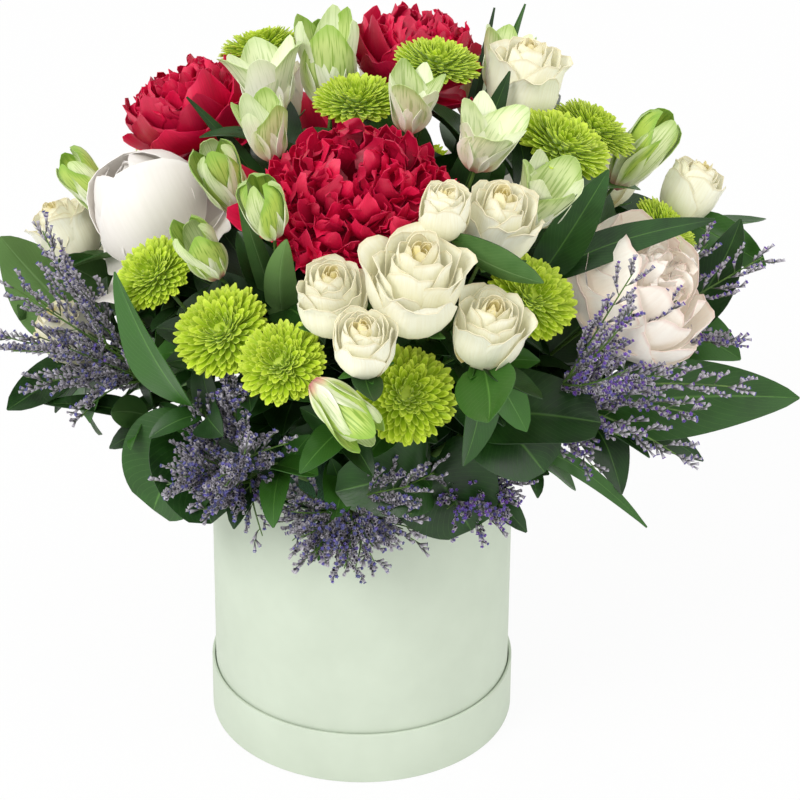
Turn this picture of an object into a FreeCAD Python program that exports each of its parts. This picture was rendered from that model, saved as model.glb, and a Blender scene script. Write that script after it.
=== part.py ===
import FreeCAD, Part
import os
from collections import namedtuple
from math import atan2, cos, hypot, pi, radians, sin, tan

# Flower box: a round board box that stands in its own upturned lid and holds a dome
# of cut flowers in floral foam. Millimetres, +Z up, front towards -Y. The origin is
# the centre of the lid's underside, on the surface that the box stands on.

# Board box and lid
BOX_RADIUS = 97.4
BOX_HEIGHT = 200.0
BOARD = 2.0
LID_HEIGHT = 37.4
LID_CLEARANCE = 0.6

# Waterproof liner and floral foam
LINER_WALL = 0.8
LINER_HEIGHT = 190.0
LINER_CLEARANCE = 0.5
FOAM_CLEARANCE = 0.6
FOAM_RISE = 35.0
FOAM_BEVEL = 25.0
FOAM_SIDES = 16

# Stems: faceted, aimed at the heart, a point low in the foam
STEM_RADIUS = 2.8
STEM_SIDES = 5
STEM_CLEARANCE = 0.25
STEM_START = 52.0
LOWEST_LIFT = 29.0
RIM_MARGIN = 7.0
FORK_MARGIN = 14.0
STALK_RADIUS = 0.9
STALK_RING = 1.9
NECK_RADIUS = 1.1

# Leaf blades and limonium sprigs
LEAF_THICKNESS = 1.6
LEAF_CUP = 0.16
LEAF_LEAD = 0.4
SPRIG_RADIUS = 1.3
SPRIG_LEAD = 0.55
SPIKELET_SPREAD = 10.0
SPIKELET_LEAN = 0.5
SPIKELETS = 6
SPIKELET_START = 0.46
SPIKELET_END = 0.92

# Worked out from the sizes above
UP = FreeCAD.Vector(0, 0, 1)
LID_INNER = BOX_RADIUS + LID_CLEARANCE
LID_RADIUS = LID_INNER + BOARD
BOX_FLOOR = BOARD
RIM_Z = BOX_FLOOR + BOX_HEIGHT
BOX_INNER = BOX_RADIUS - BOARD
LINER_RADIUS = BOX_INNER - LINER_CLEARANCE
LINER_FLOOR = BOX_FLOOR + BOARD
FOAM_RADIUS = LINER_RADIUS - LINER_WALL - FOAM_CLEARANCE
FOAM_FLOOR = LINER_FLOOR + LINER_WALL
FOAM_TOP = RIM_Z + FOAM_RISE
HEART = FreeCAD.Vector(0, 0, RIM_Z + RIM_MARGIN - BOX_RADIUS * tan(radians(LOWEST_LIFT)))
FORK_REACH = hypot(FOAM_RADIUS, FOAM_TOP - HEART.z) + FORK_MARGIN

# A flower's form: petals in a ring, rows up its outside and over its top, all as shares
# of its radius. Each row is (radius, height, petal spread, petal rise); a minus spread
# sets that row's petals between those of the row below. heart is the middle's height,
# and middle the height of the flower's centre above its neck.
Form = namedtuple("Form", "petals rows heart middle")
PEONY = Form(
    petals=5,
    rows=[(0.10, 0.00, 0, 0), (0.40, 0.05, 0, 0), (0.93, 0.45, 0.07, 0.05), (0.78, 0.42, 0, 0),
          (0.76, 0.80, -0.06, -0.04), (0.56, 0.76, 0, 0), (0.50, 1.05, 0.06, 0.04), (0.28, 1.00, 0, 0)],
    heart=1.22, middle=0.62)
GLOBE = Form(
    petals=5,
    rows=[(0.10, 0.00, 0, 0), (0.45, 0.10, 0, 0), (0.95, 0.58, 0.05, 0.05), (0.88, 0.66, 0, 0),
          (0.82, 1.05, -0.04, 0), (0.52, 1.46, 0.04, 0.04)],
    heart=1.64, middle=0.85)
ROSE = Form(
    petals=5,
    rows=[(0.10, 0.00, 0, 0), (0.42, 0.22, 0, 0), (0.92, 1.30, 0.08, 0.06), (0.64, 1.20, 0, 0),
          (0.50, 1.76, -0.06, -0.05)],
    heart=1.56, middle=0.95)
BUTTON = Form(
    petals=6,
    rows=[(0.10, 0.00, 0, 0), (0.60, 0.12, 0, 0), (0.92, 0.42, 0.08, 0.03), (0.62, 0.80, -0.08, -0.02)],
    heart=0.98, middle=0.52)
TRUMPET = Form(
    petals=6,
    rows=[(0.14, 0.00, 0, 0), (0.26, 0.40, 0, 0), (0.80, 2.10, 0.05, 0), (0.88, 2.85, 0.12, 0.25)],
    heart=1.90, middle=1.55)

# What a stem carries. turn is the compass angle from +X, lift the slope above the level
# and reach the distance, all seen from the heart; out and rise are measured from the
# box's rim. facing is the (turn, lift) that a leaf's upper side looks towards.
Flower = namedtuple("Flower", "form turn lift reach radius")
Leaf = namedtuple("Leaf", "turn out rise width petiole facing")
Sprig = namedtuple("Sprig", "turn out rise")
Stem = namedtuple("Stem", "turn lift reach load")

FRONT = (-90, 35)
LEFT = (-150, 40)
SKY = (-90, 75)

PEONIES = {
    "peony_crimson_front": Flower(PEONY, -92, 73, 263, 56),
    "peony_crimson_left": Flower(PEONY, 150, 63, 278, 41),
    "peony_crimson_top": Flower(PEONY, 66, 74, 294, 39),
    "peony_crimson_back": Flower(PEONY, 95, 52, 245, 43),
    "peony_white_left": Flower(GLOBE, -176, 58, 252, 41),
    "peony_white_back": Flower(GLOBE, 62, 40, 234, 41),
    "peony_blush_right": Flower(PEONY, -17, 46, 246, 43),
    "peony_blush_back": Flower(PEONY, 140, 40, 234, 41),
}

SPRAYS = {
    "rose_front": Stem(-88, 57, 0, [Flower(ROSE, -79, 56, 285, 29), Flower(ROSE, -97, 56, 268, 21),
                                    Flower(ROSE, -90, 49, 281, 18)]),
    "rose_right": Stem(-63, 58, 0, [Flower(ROSE, -54, 62, 284, 23), Flower(ROSE, -70, 63, 302, 15),
                                    Flower(ROSE, -65, 50, 268, 22)]),
    "rose_top": Stem(8, 71, 0, [Flower(ROSE, 8, 71, 303, 25)]),
    "rose_far_right": Stem(26, 43, 0, [Flower(ROSE, 10, 44, 291, 18), Flower(ROSE, 35, 42, 267, 20)]),
    "rose_far_left": Stem(176, 39, 0, [Flower(ROSE, -174, 35, 225, 18), Flower(ROSE, 165, 40, 255, 20)]),
    "rose_back_high": Stem(99, 64, 0, [Flower(ROSE, 80, 64, 268, 22), Flower(ROSE, 118, 62, 267, 21)]),
    "rose_back_low": Stem(100, 35, 0, [Flower(ROSE, 100, 35, 247, 20)]),
    "chrysanthemum_top_left": Stem(124, 67, 0, [Flower(BUTTON, 124, 67, 303, 22)]),
    "chrysanthemum_top": Stem(10, 85, 0, [Flower(BUTTON, -110, 88, 291, 22),
                                          Flower(BUTTON, 18, 81, 309, 22)]),
    "chrysanthemum_top_right": Stem(-4, 64, 0, [Flower(BUTTON, -14, 65, 299, 25),
                                                Flower(BUTTON, 10, 60, 295, 22)]),
    "chrysanthemum_front_left": Stem(-124, 50, 0, [Flower(BUTTON, -145, 54, 262, 21),
                                                   Flower(BUTTON, -124, 52, 244, 24),
                                                   Flower(BUTTON, -107, 49, 249, 21)]),
    "chrysanthemum_front": Stem(-81, 46, 0, [Flower(BUTTON, -81, 46, 237, 24)]),
    "chrysanthemum_front_right": Stem(-49, 54, 0, [Flower(BUTTON, -49, 54, 261, 23)]),
    "chrysanthemum_right": Stem(0, 46, 0, [Flower(BUTTON, 0, 46, 275, 20)]),
    "chrysanthemum_back_right": Stem(45, 56, 0, [Flower(BUTTON, 45, 56, 276, 23)]),
    "chrysanthemum_back": Stem(80, 36, 0, [Flower(BUTTON, 80, 36, 253, 22)]),
    "chrysanthemum_back_left": Stem(115, 38, 0, [Flower(BUTTON, 115, 38, 249, 22)]),
    "chrysanthemum_left": Stem(154, 51, 0, [Flower(BUTTON, 155, 50, 262, 21)]),
    "alstroemeria_left": Stem(-130, 64, 0, [Flower(TRUMPET, -142, 68, 280, 15),
                                            Flower(TRUMPET, -114, 63, 302, 14.5),
                                            Flower(TRUMPET, -133, 59, 267, 14),
                                            Leaf(-107, 53, 214, 19, 0.5, FRONT),
                                            Leaf(-123, 36, 229, 12, 0.5, FRONT)]),
    "alstroemeria_top_left": Stem(170, 80, 0, [Flower(TRUMPET, 163, 78, 297, 16.5),
                                               Flower(TRUMPET, 125, 82.5, 296, 19),
                                               Flower(TRUMPET, -146, 76, 291, 14),
                                               Leaf(170, 13, 230, 12, 0.5, FRONT)]),
    "alstroemeria_top": Stem(-38, 73, 0, [Flower(TRUMPET, -45, 82, 300, 14),
                                          Flower(TRUMPET, -38, 72, 300, 15.5),
                                          Flower(TRUMPET, -34, 63, 285, 16.5),
                                          Leaf(-8, -8, 262, 24, 0.5, FRONT)]),
    "alstroemeria_right": Stem(14, 54, 0, [Flower(TRUMPET, 13, 52, 289, 16.5),
                                           Flower(TRUMPET, 20, 38, 261, 14.5)]),
    "alstroemeria_top_right": Stem(42, 68, 0, [Flower(TRUMPET, 32, 70, 304, 13.5),
                                               Flower(TRUMPET, 54, 64, 279, 14.5),
                                               Leaf(49, 29, 258, 9, 0.6, FRONT),
                                               Leaf(42, 40, 262, 11, 0.6, FRONT)]),
    "alstroemeria_front": Stem(-94, 43, 0, [Flower(TRUMPET, -94, 43, 256, 14.5)]),
    "alstroemeria_far_left": Stem(166, 47, 0, [Flower(TRUMPET, 169, 50, 271, 13.5),
                                               Flower(TRUMPET, 160, 34, 241, 14)]),
    "alstroemeria_back_high": Stem(110, 76, 0, [Flower(TRUMPET, 110, 76, 286, 14.5)]),
    "alstroemeria_back_left": Stem(128, 50, 0, [Flower(TRUMPET, 128, 50, 263, 14.5)]),
}

TWIGS = {
    "leaf_left_high": [Stem(170, 31, 185, [Leaf(176, 131, 135, 46, 0.1, FRONT)])],
    "leaf_left": [Stem(-160, 32, 165, [Leaf(-167, 108, 50, 18, 0.2, SKY),
                                       Leaf(-153, 76, 62, 18, 0.2, FRONT)]),
                  Stem(-133, 41, 190, [Leaf(-145, 82, 172, 38, 0.2, LEFT)])],
    "leaf_front_left": [Stem(-143, 33, 148, [Leaf(-149, 55, -8, 48, 0.15, FRONT),
                                             Leaf(-129, 50, 4, 40, 0.15, FRONT)])],
    "leaf_front": [Stem(-112, 36, 170, [Leaf(-100, 55, 60, 15, 0.1, SKY)]),
                   Stem(-72, 36, 155, [Leaf(-97, 36, 38, 34, 0.15, FRONT),
                                       Leaf(-62, 44, 6, 44, 0.15, FRONT)])],
    "leaf_front_right": [Stem(-58, 42, 190, [Leaf(-42, 95, 84, 38, 0.25, SKY),
                                             Leaf(-52, 80, 56, 40, 0.3, FRONT)])],
    "leaf_right_low": [Stem(-38, 33, 145, [Leaf(-29, 55, 4, 24, 0.3, SKY),
                                           Leaf(-22, 96, -24, 10, 0.4, FRONT)])],
    "leaf_right": [Stem(-20, 32, 165, [Leaf(-27, 84, 6, 27, 0.3, FRONT),
                                       Leaf(-16, 125, 18, 22, 0.45, FRONT),
                                       Leaf(-10, 180, 56, 44, 0.4, FRONT)])],
    "leaf_right_high": [Stem(-1, 33, 225, [Leaf(0, 138, 157, 28, 0.1, FRONT),
                                           Leaf(-4, 142, 66, 30, 0.1, FRONT)])],
    "leaf_top_right": [Stem(-33, 57, 225, [Leaf(-11, 121, 177, 18, 0.2, FRONT),
                                           Leaf(-27, 66, 226, 24, 0.1, FRONT)])],
    "leaf_back_right": [Stem(40, 31, 150, [Leaf(28, 100, 44, 36, 0.25, (40, 60)),
                                           Leaf(50, 80, -5, 40, 0.25, (40, 40))]),
                        Stem(72, 31, 150, [Leaf(60, 72, 8, 40, 0.25, (70, 50)),
                                           Leaf(84, 90, 34, 34, 0.25, (75, 60))])],
    "leaf_back_left": [Stem(108, 30, 150, [Leaf(97, 85, 28, 36, 0.3, (105, 55)),
                                           Leaf(118, 72, -8, 40, 0.25, (110, 40))]),
                       Stem(138, 31, 150, [Leaf(130, 96, 34, 36, 0.3, (135, 60)),
                                           Leaf(150, 85, 2, 38, 0.25, (140, 45))])],
    "limonium_left": [Stem(-165, 39, 150, [Sprig(-175, 101, 156), Sprig(-169, 122, 130),
                                           Sprig(-161, 128, 102), Sprig(-167, 116, 62),
                                           Sprig(-152, 97, 66)])],
    "limonium_front_left": [Stem(-124, 33, 140, [Sprig(-137, 66, 30), Sprig(-130, 54, 12),
                                                 Sprig(-116, 42, 2), Sprig(-106, 62, 84)])],
    "limonium_front": [Stem(-95, 31, 138, [Sprig(-110, 28, -6), Sprig(-97, 24, -14),
                                           Sprig(-86, 20, -24), Sprig(-73, 27, -8)])],
    "limonium_front_right": [Stem(-58, 32, 140, [Sprig(-66, 34, 0), Sprig(-55, 44, 18)])],
    "limonium_right": [Stem(-42, 42, 160, [Sprig(-47, 130, 180), Sprig(-37, 128, 120),
                                           Sprig(-27, 128, 40), Sprig(-16, 146, 74),
                                           Sprig(-30, 70, 24)])],
    "limonium_far_right": [Stem(-8, 38, 170, [Sprig(-3, 152, 137), Sprig(-11, 138, 92)])],
    "limonium_back_right": [Stem(54, 31, 140, [Sprig(46, 90, 70), Sprig(57, 75, 10),
                                               Sprig(66, 95, 60)])],
    "limonium_back_left": [Stem(123, 30, 140, [Sprig(112, 90, 65), Sprig(123, 75, 5),
                                               Sprig(132, 90, 68)])],
}


def bearing(turn, lift):
    """Unit vector at a compass angle and a slope."""
    level = cos(radians(lift))
    return FreeCAD.Vector(cos(radians(turn)) * level, sin(radians(turn)) * level, sin(radians(lift)))


def beyond_rim(turn, out, rise):
    """Point measured outwards and upwards from the box's rim."""
    spoke = BOX_RADIUS + out
    return FreeCAD.Vector(spoke * cos(radians(turn)), spoke * sin(radians(turn)), RIM_Z + rise)


def unit(vector):
    return vector * (1.0 / vector.Length)


def cross_axes(axis):
    """Two unit vectors square to an axis and to each other."""
    guide = FreeCAD.Vector(1, 0, 0) if abs(axis.z) > 0.99 else UP
    across = unit(guide.cross(axis))
    return across, axis.cross(across)


def polygon(centre, axis, radius, sides):
    """Corners of a regular polygon round an axis."""
    across, along = cross_axes(axis)
    angles = [2 * pi * k / sides for k in range(sides)]
    return [centre + across * (radius * cos(a)) + along * (radius * sin(a)) for a in angles]


def skin(rings, tip=None):
    """Closed faceted solid through right-handed rings of points, ended by a tip or a flat face.

    Both halves of a ring split along matching diagonals, so a thin blade's sides never cross.
    """
    sides = len(rings[0])
    points = [point for ring in rings for point in ring]
    facets = [(0, k + 1, k) for k in range(1, sides - 1)]
    for level in range(len(rings) - 1):
        low = level * sides
        high = low + sides
        for k in range(sides):
            after = (k + 1) % sides
            if k < sides // 2:
                facets += [(low + k, low + after, high + after), (low + k, high + after, high + k)]
            else:
                facets += [(low + k, low + after, high + k), (low + after, high + after, high + k)]
    last = (len(rings) - 1) * sides
    if tip is None:
        facets += [(last, last + k, last + k + 1) for k in range(1, sides - 1)]
    else:
        facets += [(last + k, last + (k + 1) % sides, len(points)) for k in range(sides)]
        points.append(tip)
    shell = Part.Shape()
    shell.makeShapeFromMesh((points, facets), 0.0001)
    return Part.makeSolid(shell.Shells[0])


def ring_tube(outer, wall, floor, height):
    """Upright round tube."""
    base = FreeCAD.Vector(0, 0, floor)
    return Part.makeCylinder(outer, height, base).cut(Part.makeCylinder(outer - wall, height, base))


def box_parts():
    """The board box and the lid that it stands in."""
    base = FreeCAD.Vector(0, 0, BOX_FLOOR)
    return {
        "lid_panel": [Part.makeCylinder(LID_INNER, BOARD)],
        "lid_rim": [ring_tube(LID_RADIUS, BOARD, 0, LID_HEIGHT)],
        "box_base": [Part.makeCylinder(BOX_INNER, BOARD, base)],
        "box_wall": [ring_tube(BOX_RADIUS, BOARD, BOX_FLOOR, BOX_HEIGHT)],
    }


def liner():
    """Waterproof cup between the board and the foam."""
    cup = Part.makeCylinder(LINER_RADIUS, LINER_HEIGHT, FreeCAD.Vector(0, 0, LINER_FLOOR))
    room = Part.makeCylinder(LINER_RADIUS - LINER_WALL, LINER_HEIGHT, FreeCAD.Vector(0, 0, FOAM_FLOOR))
    return cup.cut(room)


def stem_solid(stem, start, end, radius):
    """Length of stem on its line from the heart."""
    axis = bearing(stem.turn, stem.lift)
    return skin([polygon(HEART + axis * reach, axis, radius, STEM_SIDES) for reach in (start, end)])


def foam(stems):
    """Foam block, cut to many flat sides and a bevelled shoulder, with a hole for each stem."""
    rows = [(FOAM_RADIUS, FOAM_FLOOR), (FOAM_RADIUS, FOAM_TOP - FOAM_BEVEL),
            (FOAM_RADIUS - FOAM_BEVEL, FOAM_TOP)]
    block = skin([polygon(UP * level, UP, radius, FOAM_SIDES) for radius, level in rows])
    wide = STEM_RADIUS + STEM_CLEARANCE
    holes = [stem_solid(stem, STEM_START - STEM_CLEARANCE, FORK_REACH, wide) for stem in stems]
    return block.removeSplitter().cut(Part.makeCompound(holes))


def flower_head(flower):
    """Flower on its own line from the heart, and the place of its neck."""
    form = flower.form
    size = flower.radius
    axis = bearing(flower.turn, flower.lift)
    neck = HEART + axis * (flower.reach - form.middle * size)
    across, along = cross_axes(axis)
    corners = 2 * form.petals
    rings = []
    for radius, height, spread, rise in form.rows:
        ring = []
        for k in range(corners):
            angle = 2 * pi * k / corners
            wave = 1 if k % 2 == 0 else -1
            spoke = size * (radius + spread * wave)
            level = size * (height + rise * wave)
            ring.append(neck + across * (spoke * cos(angle)) + along * (spoke * sin(angle)) + axis * level)
        rings.append(ring)
    return skin(rings, neck + axis * (size * form.heart)), neck, axis


def bend(start, lead, end, share):
    """Point and direction on a bow that leaves start towards lead and stops at end."""
    rest = 1 - share
    point = start * (rest * rest) + lead * (2 * rest * share) + end * (share * share)
    way = (lead - start) * rest + (end - lead) * share
    return point, unit(way)


def leaf_blade(leaf, root, axis):
    """Leaf that leaves its stalk's root along the stem and bows over to its tip."""
    end = beyond_rim(leaf.turn, leaf.out, leaf.rise)
    lead = root + axis * (LEAF_LEAD * (end - root).Length)
    facing = bearing(*leaf.facing)
    rings = [polygon(root, axis, STALK_RADIUS, 4)]
    for share in (0.0, 0.28, 0.66):
        point, way = bend(root, lead, end, leaf.petiole + (1 - leaf.petiole) * share)
        side = unit(way.cross(facing))
        normal = side.cross(way)
        half = max(STALK_RADIUS, 0.5 * leaf.width * sin(pi * share ** 0.8) ** 0.75)
        edge = normal * (LEAF_CUP * half)
        rib = normal * (0.5 * LEAF_THICKNESS)
        rings.append([point - side * half + edge, point + rib, point + side * half + edge, point - rib])
    return skin(turned_to_match(rings), end)


def turned_to_match(rings):
    """Start the first ring at the corner nearest the next ring's start, so nothing twists."""
    first, second = rings[0], rings[1]
    centre = sum(first, FreeCAD.Vector()) * (1.0 / len(first))
    aim = second[0] - sum(second, FreeCAD.Vector()) * (1.0 / len(second))
    start = max(range(len(first)), key=lambda k: (first[k] - centre).dot(aim))
    return [first[start:] + first[:start]] + rings[1:]


def sprig_plume(sprig, root, axis):
    """Limonium sprig: a thin bowed stalk whose spikelets lean out on alternate sides."""
    end = beyond_rim(sprig.turn, sprig.out, sprig.rise)
    lead = root + axis * (SPRIG_LEAD * (end - root).Length)
    rings = [polygon(root, axis, STALK_RADIUS, 3)]
    step = (SPIKELET_END - SPIKELET_START) / (SPIKELETS - 1)
    ahead = SPIKELET_LEAN * step * (end - root).Length
    for k in range(SPIKELETS):
        point, way = bend(root, lead, end, SPIKELET_START + k * step)
        side = unit(way.cross(UP))
        wide = SPIKELET_SPREAD * (0.5 + 0.5 * sin(pi * k / (SPIKELETS - 1)))
        spread = [(wide, ahead), (-SPRIG_RADIUS, 0)]
        if k % 2:
            spread = [(SPRIG_RADIUS, 0), (-wide, ahead)]
        ring = [point + side * out + way * lean for out, lean in spread]
        rings.append(ring + [point + side.cross(way) * (2 * SPRIG_RADIUS)])
    return skin(turned_to_match(rings), end)


def aim_of(item):
    """Where an item on a stem heads for: a flower's neck or a blade's tip."""
    if isinstance(item, Flower):
        return HEART + bearing(item.turn, item.lift) * item.reach
    return beyond_rim(item.turn, item.out, item.rise)


def loaded_stem(stem):
    """A stem from the foam to its fork, and everything that the fork carries."""
    reach = max(stem.reach, FORK_REACH)
    axis = bearing(stem.turn, stem.lift)
    fork = HEART + axis * reach
    across, along = cross_axes(axis)
    solids = [stem_solid(stem, STEM_START, reach, STEM_RADIUS)]

    def round_stem(item):
        aside = aim_of(item) - fork
        return atan2(aside.dot(along), aside.dot(across))

    items = sorted(stem.load, key=round_stem)
    first = round_stem(items[0])
    ring = STALK_RING if len(items) > 1 else 0
    for k, item in enumerate(items):
        angle = first + 2 * pi * k / len(items)
        root = fork + across * (ring * cos(angle)) + along * (ring * sin(angle))
        if isinstance(item, Flower):
            head, neck, line = flower_head(item)
            ends = [polygon(root, axis, STALK_RADIUS, 4), polygon(neck, line, NECK_RADIUS, 4)]
            solids += [skin(turned_to_match(ends)), head]
        elif isinstance(item, Leaf):
            solids.append(leaf_blade(item, root, axis))
        else:
            solids.append(sprig_plume(item, root, axis))
    return solids


def planted():
    """Every stem by node name."""
    nodes = {name: [Stem(head.turn, head.lift, 0, [head])] for name, head in PEONIES.items()}
    nodes.update({name: [stem] for name, stem in SPRAYS.items()})
    nodes.update(TWIGS)
    return nodes


def main():
    nodes = planted()
    parts = box_parts()
    parts["liner"] = [liner()]
    parts["floral_foam"] = [foam([stem for stems in nodes.values() for stem in stems])]
    for name, stems in nodes.items():
        parts[name] = [solid for stem in stems for solid in loaded_stem(stem)]
    os.makedirs("parts", exist_ok=True)
    for name, solids in parts.items():
        shape = solids[0] if len(solids) == 1 else Part.makeCompound(solids)
        shape.exportStep(os.path.join("parts", name + ".step"))
        print(name, len(shape.Solids), "solids", round(shape.Volume / 1000, 1), "cm3", shape.isValid())


main()
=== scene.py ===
# %% [markdown]
# # A box of cut flowers
# A round mint box stands in its own upturned lid and holds a dome of flowers. The CAD
# model gives every flower its place: a stem in the foam, a thin stalk and a faceted head.
# This lesson keeps those places and grows real petals, leaves and florets on them.
# Everything is in metres, with the front of the box towards -Y.

# %% Load the CAD frame
from collections import namedtuple
from functools import partial
from math import atan2, cos, pi, radians, sin

import bmesh
import bpy
import numpy as np
from mathutils import Matrix, Vector


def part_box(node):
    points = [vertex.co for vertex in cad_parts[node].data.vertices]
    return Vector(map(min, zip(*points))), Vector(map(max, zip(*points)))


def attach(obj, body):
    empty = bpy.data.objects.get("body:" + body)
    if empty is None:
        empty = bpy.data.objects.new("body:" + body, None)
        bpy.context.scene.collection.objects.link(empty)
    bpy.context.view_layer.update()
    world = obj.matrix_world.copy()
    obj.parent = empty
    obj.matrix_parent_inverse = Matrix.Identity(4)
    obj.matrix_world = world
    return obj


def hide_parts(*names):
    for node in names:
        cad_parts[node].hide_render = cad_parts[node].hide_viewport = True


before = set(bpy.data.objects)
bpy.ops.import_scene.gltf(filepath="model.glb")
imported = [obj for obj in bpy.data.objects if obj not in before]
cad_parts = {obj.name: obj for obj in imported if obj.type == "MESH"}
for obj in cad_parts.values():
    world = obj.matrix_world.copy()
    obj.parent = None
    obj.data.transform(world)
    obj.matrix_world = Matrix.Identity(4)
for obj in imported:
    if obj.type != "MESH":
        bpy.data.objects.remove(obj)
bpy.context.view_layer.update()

bpy.context.scene.view_settings.view_transform = "Standard"
print("CAD nodes:", len(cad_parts))

# %% [markdown]
# ## The camera
# The photograph looks down on the box from the front with a long lens. A camera is turned
# in three steps, as on a tripod: pan, tilt, then a slight roll about its own line of sight.
# A long lens keeps the box's sides nearly parallel, as they are in the photograph.

# %% Set up the camera
PAN = radians(-0.74)
TILT = radians(29.504)
ROLL = radians(0.488)
CAMERA_SPOT = (0, -1.8601, 1.2814)
LENS = 150
FILM_WIDTH = 36
bpy.ops.object.camera_add(location=CAMERA_SPOT)
camera = bpy.context.object
turn = Matrix.Rotation(PAN, 3, "Z") @ Matrix.Rotation(pi / 2 - TILT, 3, "X")
camera.rotation_euler = (turn @ Matrix.Rotation(ROLL, 3, "Z")).to_euler()
camera.data.lens = LENS
camera.data.sensor_width = FILM_WIDTH
bpy.context.scene.camera = camera
print("camera", CAMERA_SPOT, "lens", LENS, "mm")

# %% [markdown]
# ## The studio
# The box stands on a plain pale floor in soft light: a bright sky all round, one wide lamp
# from the front left and a weaker one from the right. The floor is painted white for the
# camera alone, through the Light Path node, so the lamps needn't be turned up to bleach it,
# and a part of its true shading is kept so that the box still throws a soft shadow.


# %% Node helpers
def feed(tree, node, inputs):
    """Fill a node's inputs with numbers or with other nodes' outputs."""
    for key, value in inputs.items():
        if isinstance(value, bpy.types.NodeSocket):
            tree.links.new(value, node.inputs[key])
        else:
            node.inputs[key].default_value = value


def place(tree, kind, inputs=None, **settings):
    """Add a node, set its properties, then fill its inputs."""
    made = tree.nodes.new(kind)
    for key, value in settings.items():
        setattr(made, key, value)
    feed(tree, made, inputs or {})
    return made


def maths(tree, operation, *values):
    """One step of arithmetic on outputs and numbers."""
    return place(tree, "ShaderNodeMath", dict(enumerate(values)), operation=operation).outputs[0]


def times(tree, value, factor):
    return maths(tree, "MULTIPLY", value, factor)


def seen_directly(tree):
    """1 for rays that the camera sees at first hand, in a mirror or through glass."""
    path = place(tree, "ShaderNodeLightPath").outputs
    shine = maths(tree, "MAXIMUM", path["Is Glossy Ray"], path["Is Transmission Ray"])
    return maths(tree, "MAXIMUM", path["Is Camera Ray"], shine)


# %% Sky and floor
SKY_LIGHT = 0.9
PURE_WHITE = (1, 1, 1, 1)
FLOOR_WHITE = 0.92
FLOOR_PAINT = (0.86, 0.86, 0.85, 1)
FLOOR_SIZE = 9
FLOOR_DROP = 0.0004


def white_world():
    world = bpy.data.worlds.new("studio")
    bpy.context.scene.world = world
    world.use_nodes = True
    tree = world.node_tree
    sky = tree.nodes["Background"]
    feed(tree, sky, {"Color": PURE_WHITE, "Strength": SKY_LIGHT})
    white = place(tree, "ShaderNodeBackground", {"Color": PURE_WHITE, "Strength": 1.0})
    both = place(tree, "ShaderNodeMixShader",
                 {0: seen_directly(tree), 1: sky.outputs[0], 2: white.outputs[0]})
    feed(tree, tree.nodes["World Output"], {"Surface": both.outputs[0]})


def white_floor():
    bpy.ops.object.select_all(action="DESELECT")
    bpy.ops.mesh.primitive_plane_add(size=FLOOR_SIZE, location=(0, 0, -FLOOR_DROP))
    floor = bpy.context.object
    floor.name = "floor"
    material = bpy.data.materials.new("studio_floor")
    material.use_nodes = True
    tree = material.node_tree
    paint = tree.nodes["Principled BSDF"]
    feed(tree, paint, {"Base Color": FLOOR_PAINT, "Roughness": 0.9})
    glow = place(tree, "ShaderNodeEmission", {"Color": PURE_WHITE, "Strength": 1.0})
    share = times(tree, seen_directly(tree), FLOOR_WHITE)
    both = place(tree, "ShaderNodeMixShader", {0: share, 1: paint.outputs[0], 2: glow.outputs[0]})
    feed(tree, tree.nodes["Material Output"], {"Surface": both.outputs[0]})
    floor.data.materials.append(material)


white_world()
white_floor()
print("sky", SKY_LIGHT, "and a floor of", FLOOR_SIZE, "m")

# %% Lamps
LAMP_AIM = Vector((0, 0, 0.3))


def soft_lamp(name, spot, size, watts):
    bpy.ops.object.light_add(type="AREA", location=spot)
    lamp = bpy.context.object
    lamp.name = name
    lamp.data.shape = "DISK"
    lamp.data.size = size
    lamp.data.energy = watts
    lamp.rotation_euler = (LAMP_AIM - Vector(spot)).to_track_quat("-Z", "Y").to_euler()


soft_lamp("front_left", (-1.5, -1.7, 2.2), size=1.2, watts=40)
soft_lamp("right", (1.9, -1.0, 1.3), size=1.4, watts=9)
print("lamps:", [lamp.name for lamp in bpy.data.lights])

# %% [markdown]
# ## Colours and a paper finish
# The box is board wrapped in matt mint paper. Paper isn't one flat colour: it has a faint
# cloudiness and a fine tooth of fibres. Both come from noise on Object coordinates, which
# are real metres here, so the tooth keeps its true size on the lid and on the wall.


# %% Colour helpers
def colour(code):
    """A web colour such as #d9e6d0 as the linear colour that a shader takes."""
    parts = [int(code[k:k + 2], 16) / 255 for k in (1, 3, 5)]
    return tuple(p / 12.92 if p <= 0.04045 else ((p + 0.055) / 1.055) ** 2.4 for p in parts) + (1.0,)


def new_material(name, roughness):
    """A material and its tree and shader, with a plain roughness to start from."""
    material = bpy.data.materials.new(name)
    material.use_nodes = True
    shader = material.node_tree.nodes["Principled BSDF"]
    shader.inputs["Roughness"].default_value = roughness
    return material, material.node_tree, shader


def ramp(tree, value, stops):
    """Colours along a value from 0 to 1."""
    made = place(tree, "ShaderNodeValToRGB", {"Fac": value})
    band = made.color_ramp
    while len(band.elements) < len(stops):
        band.elements.new(0.5)
    for element, (spot, code) in zip(band.elements, stops):
        element.position = spot
        element.color = colour(code)
    return made.outputs["Color"]


def mix(tree, share, first, second):
    """Blend two colours, each a web colour or another node's output."""
    first, second = (colour(tint) if isinstance(tint, str) else tint for tint in (first, second))
    return place(tree, "ShaderNodeMix", {0: share, 6: first, 7: second}, data_type="RGBA").outputs[2]


def brightened(tree, tint, value):
    """A colour made darker or lighter by a number near 1."""
    return place(tree, "ShaderNodeHueSaturation", {"Color": tint, "Value": value}).outputs[0]


def between(tree, value, low, high, to_low=0.0, to_high=1.0):
    """Stretch a value from one range to another, with smooth ends."""
    return place(tree, "ShaderNodeMapRange", {"Value": value, "From Min": low, "From Max": high,
                                              "To Min": to_low, "To Max": to_high},
                 interpolation_type="SMOOTHSTEP").outputs["Result"]


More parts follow.
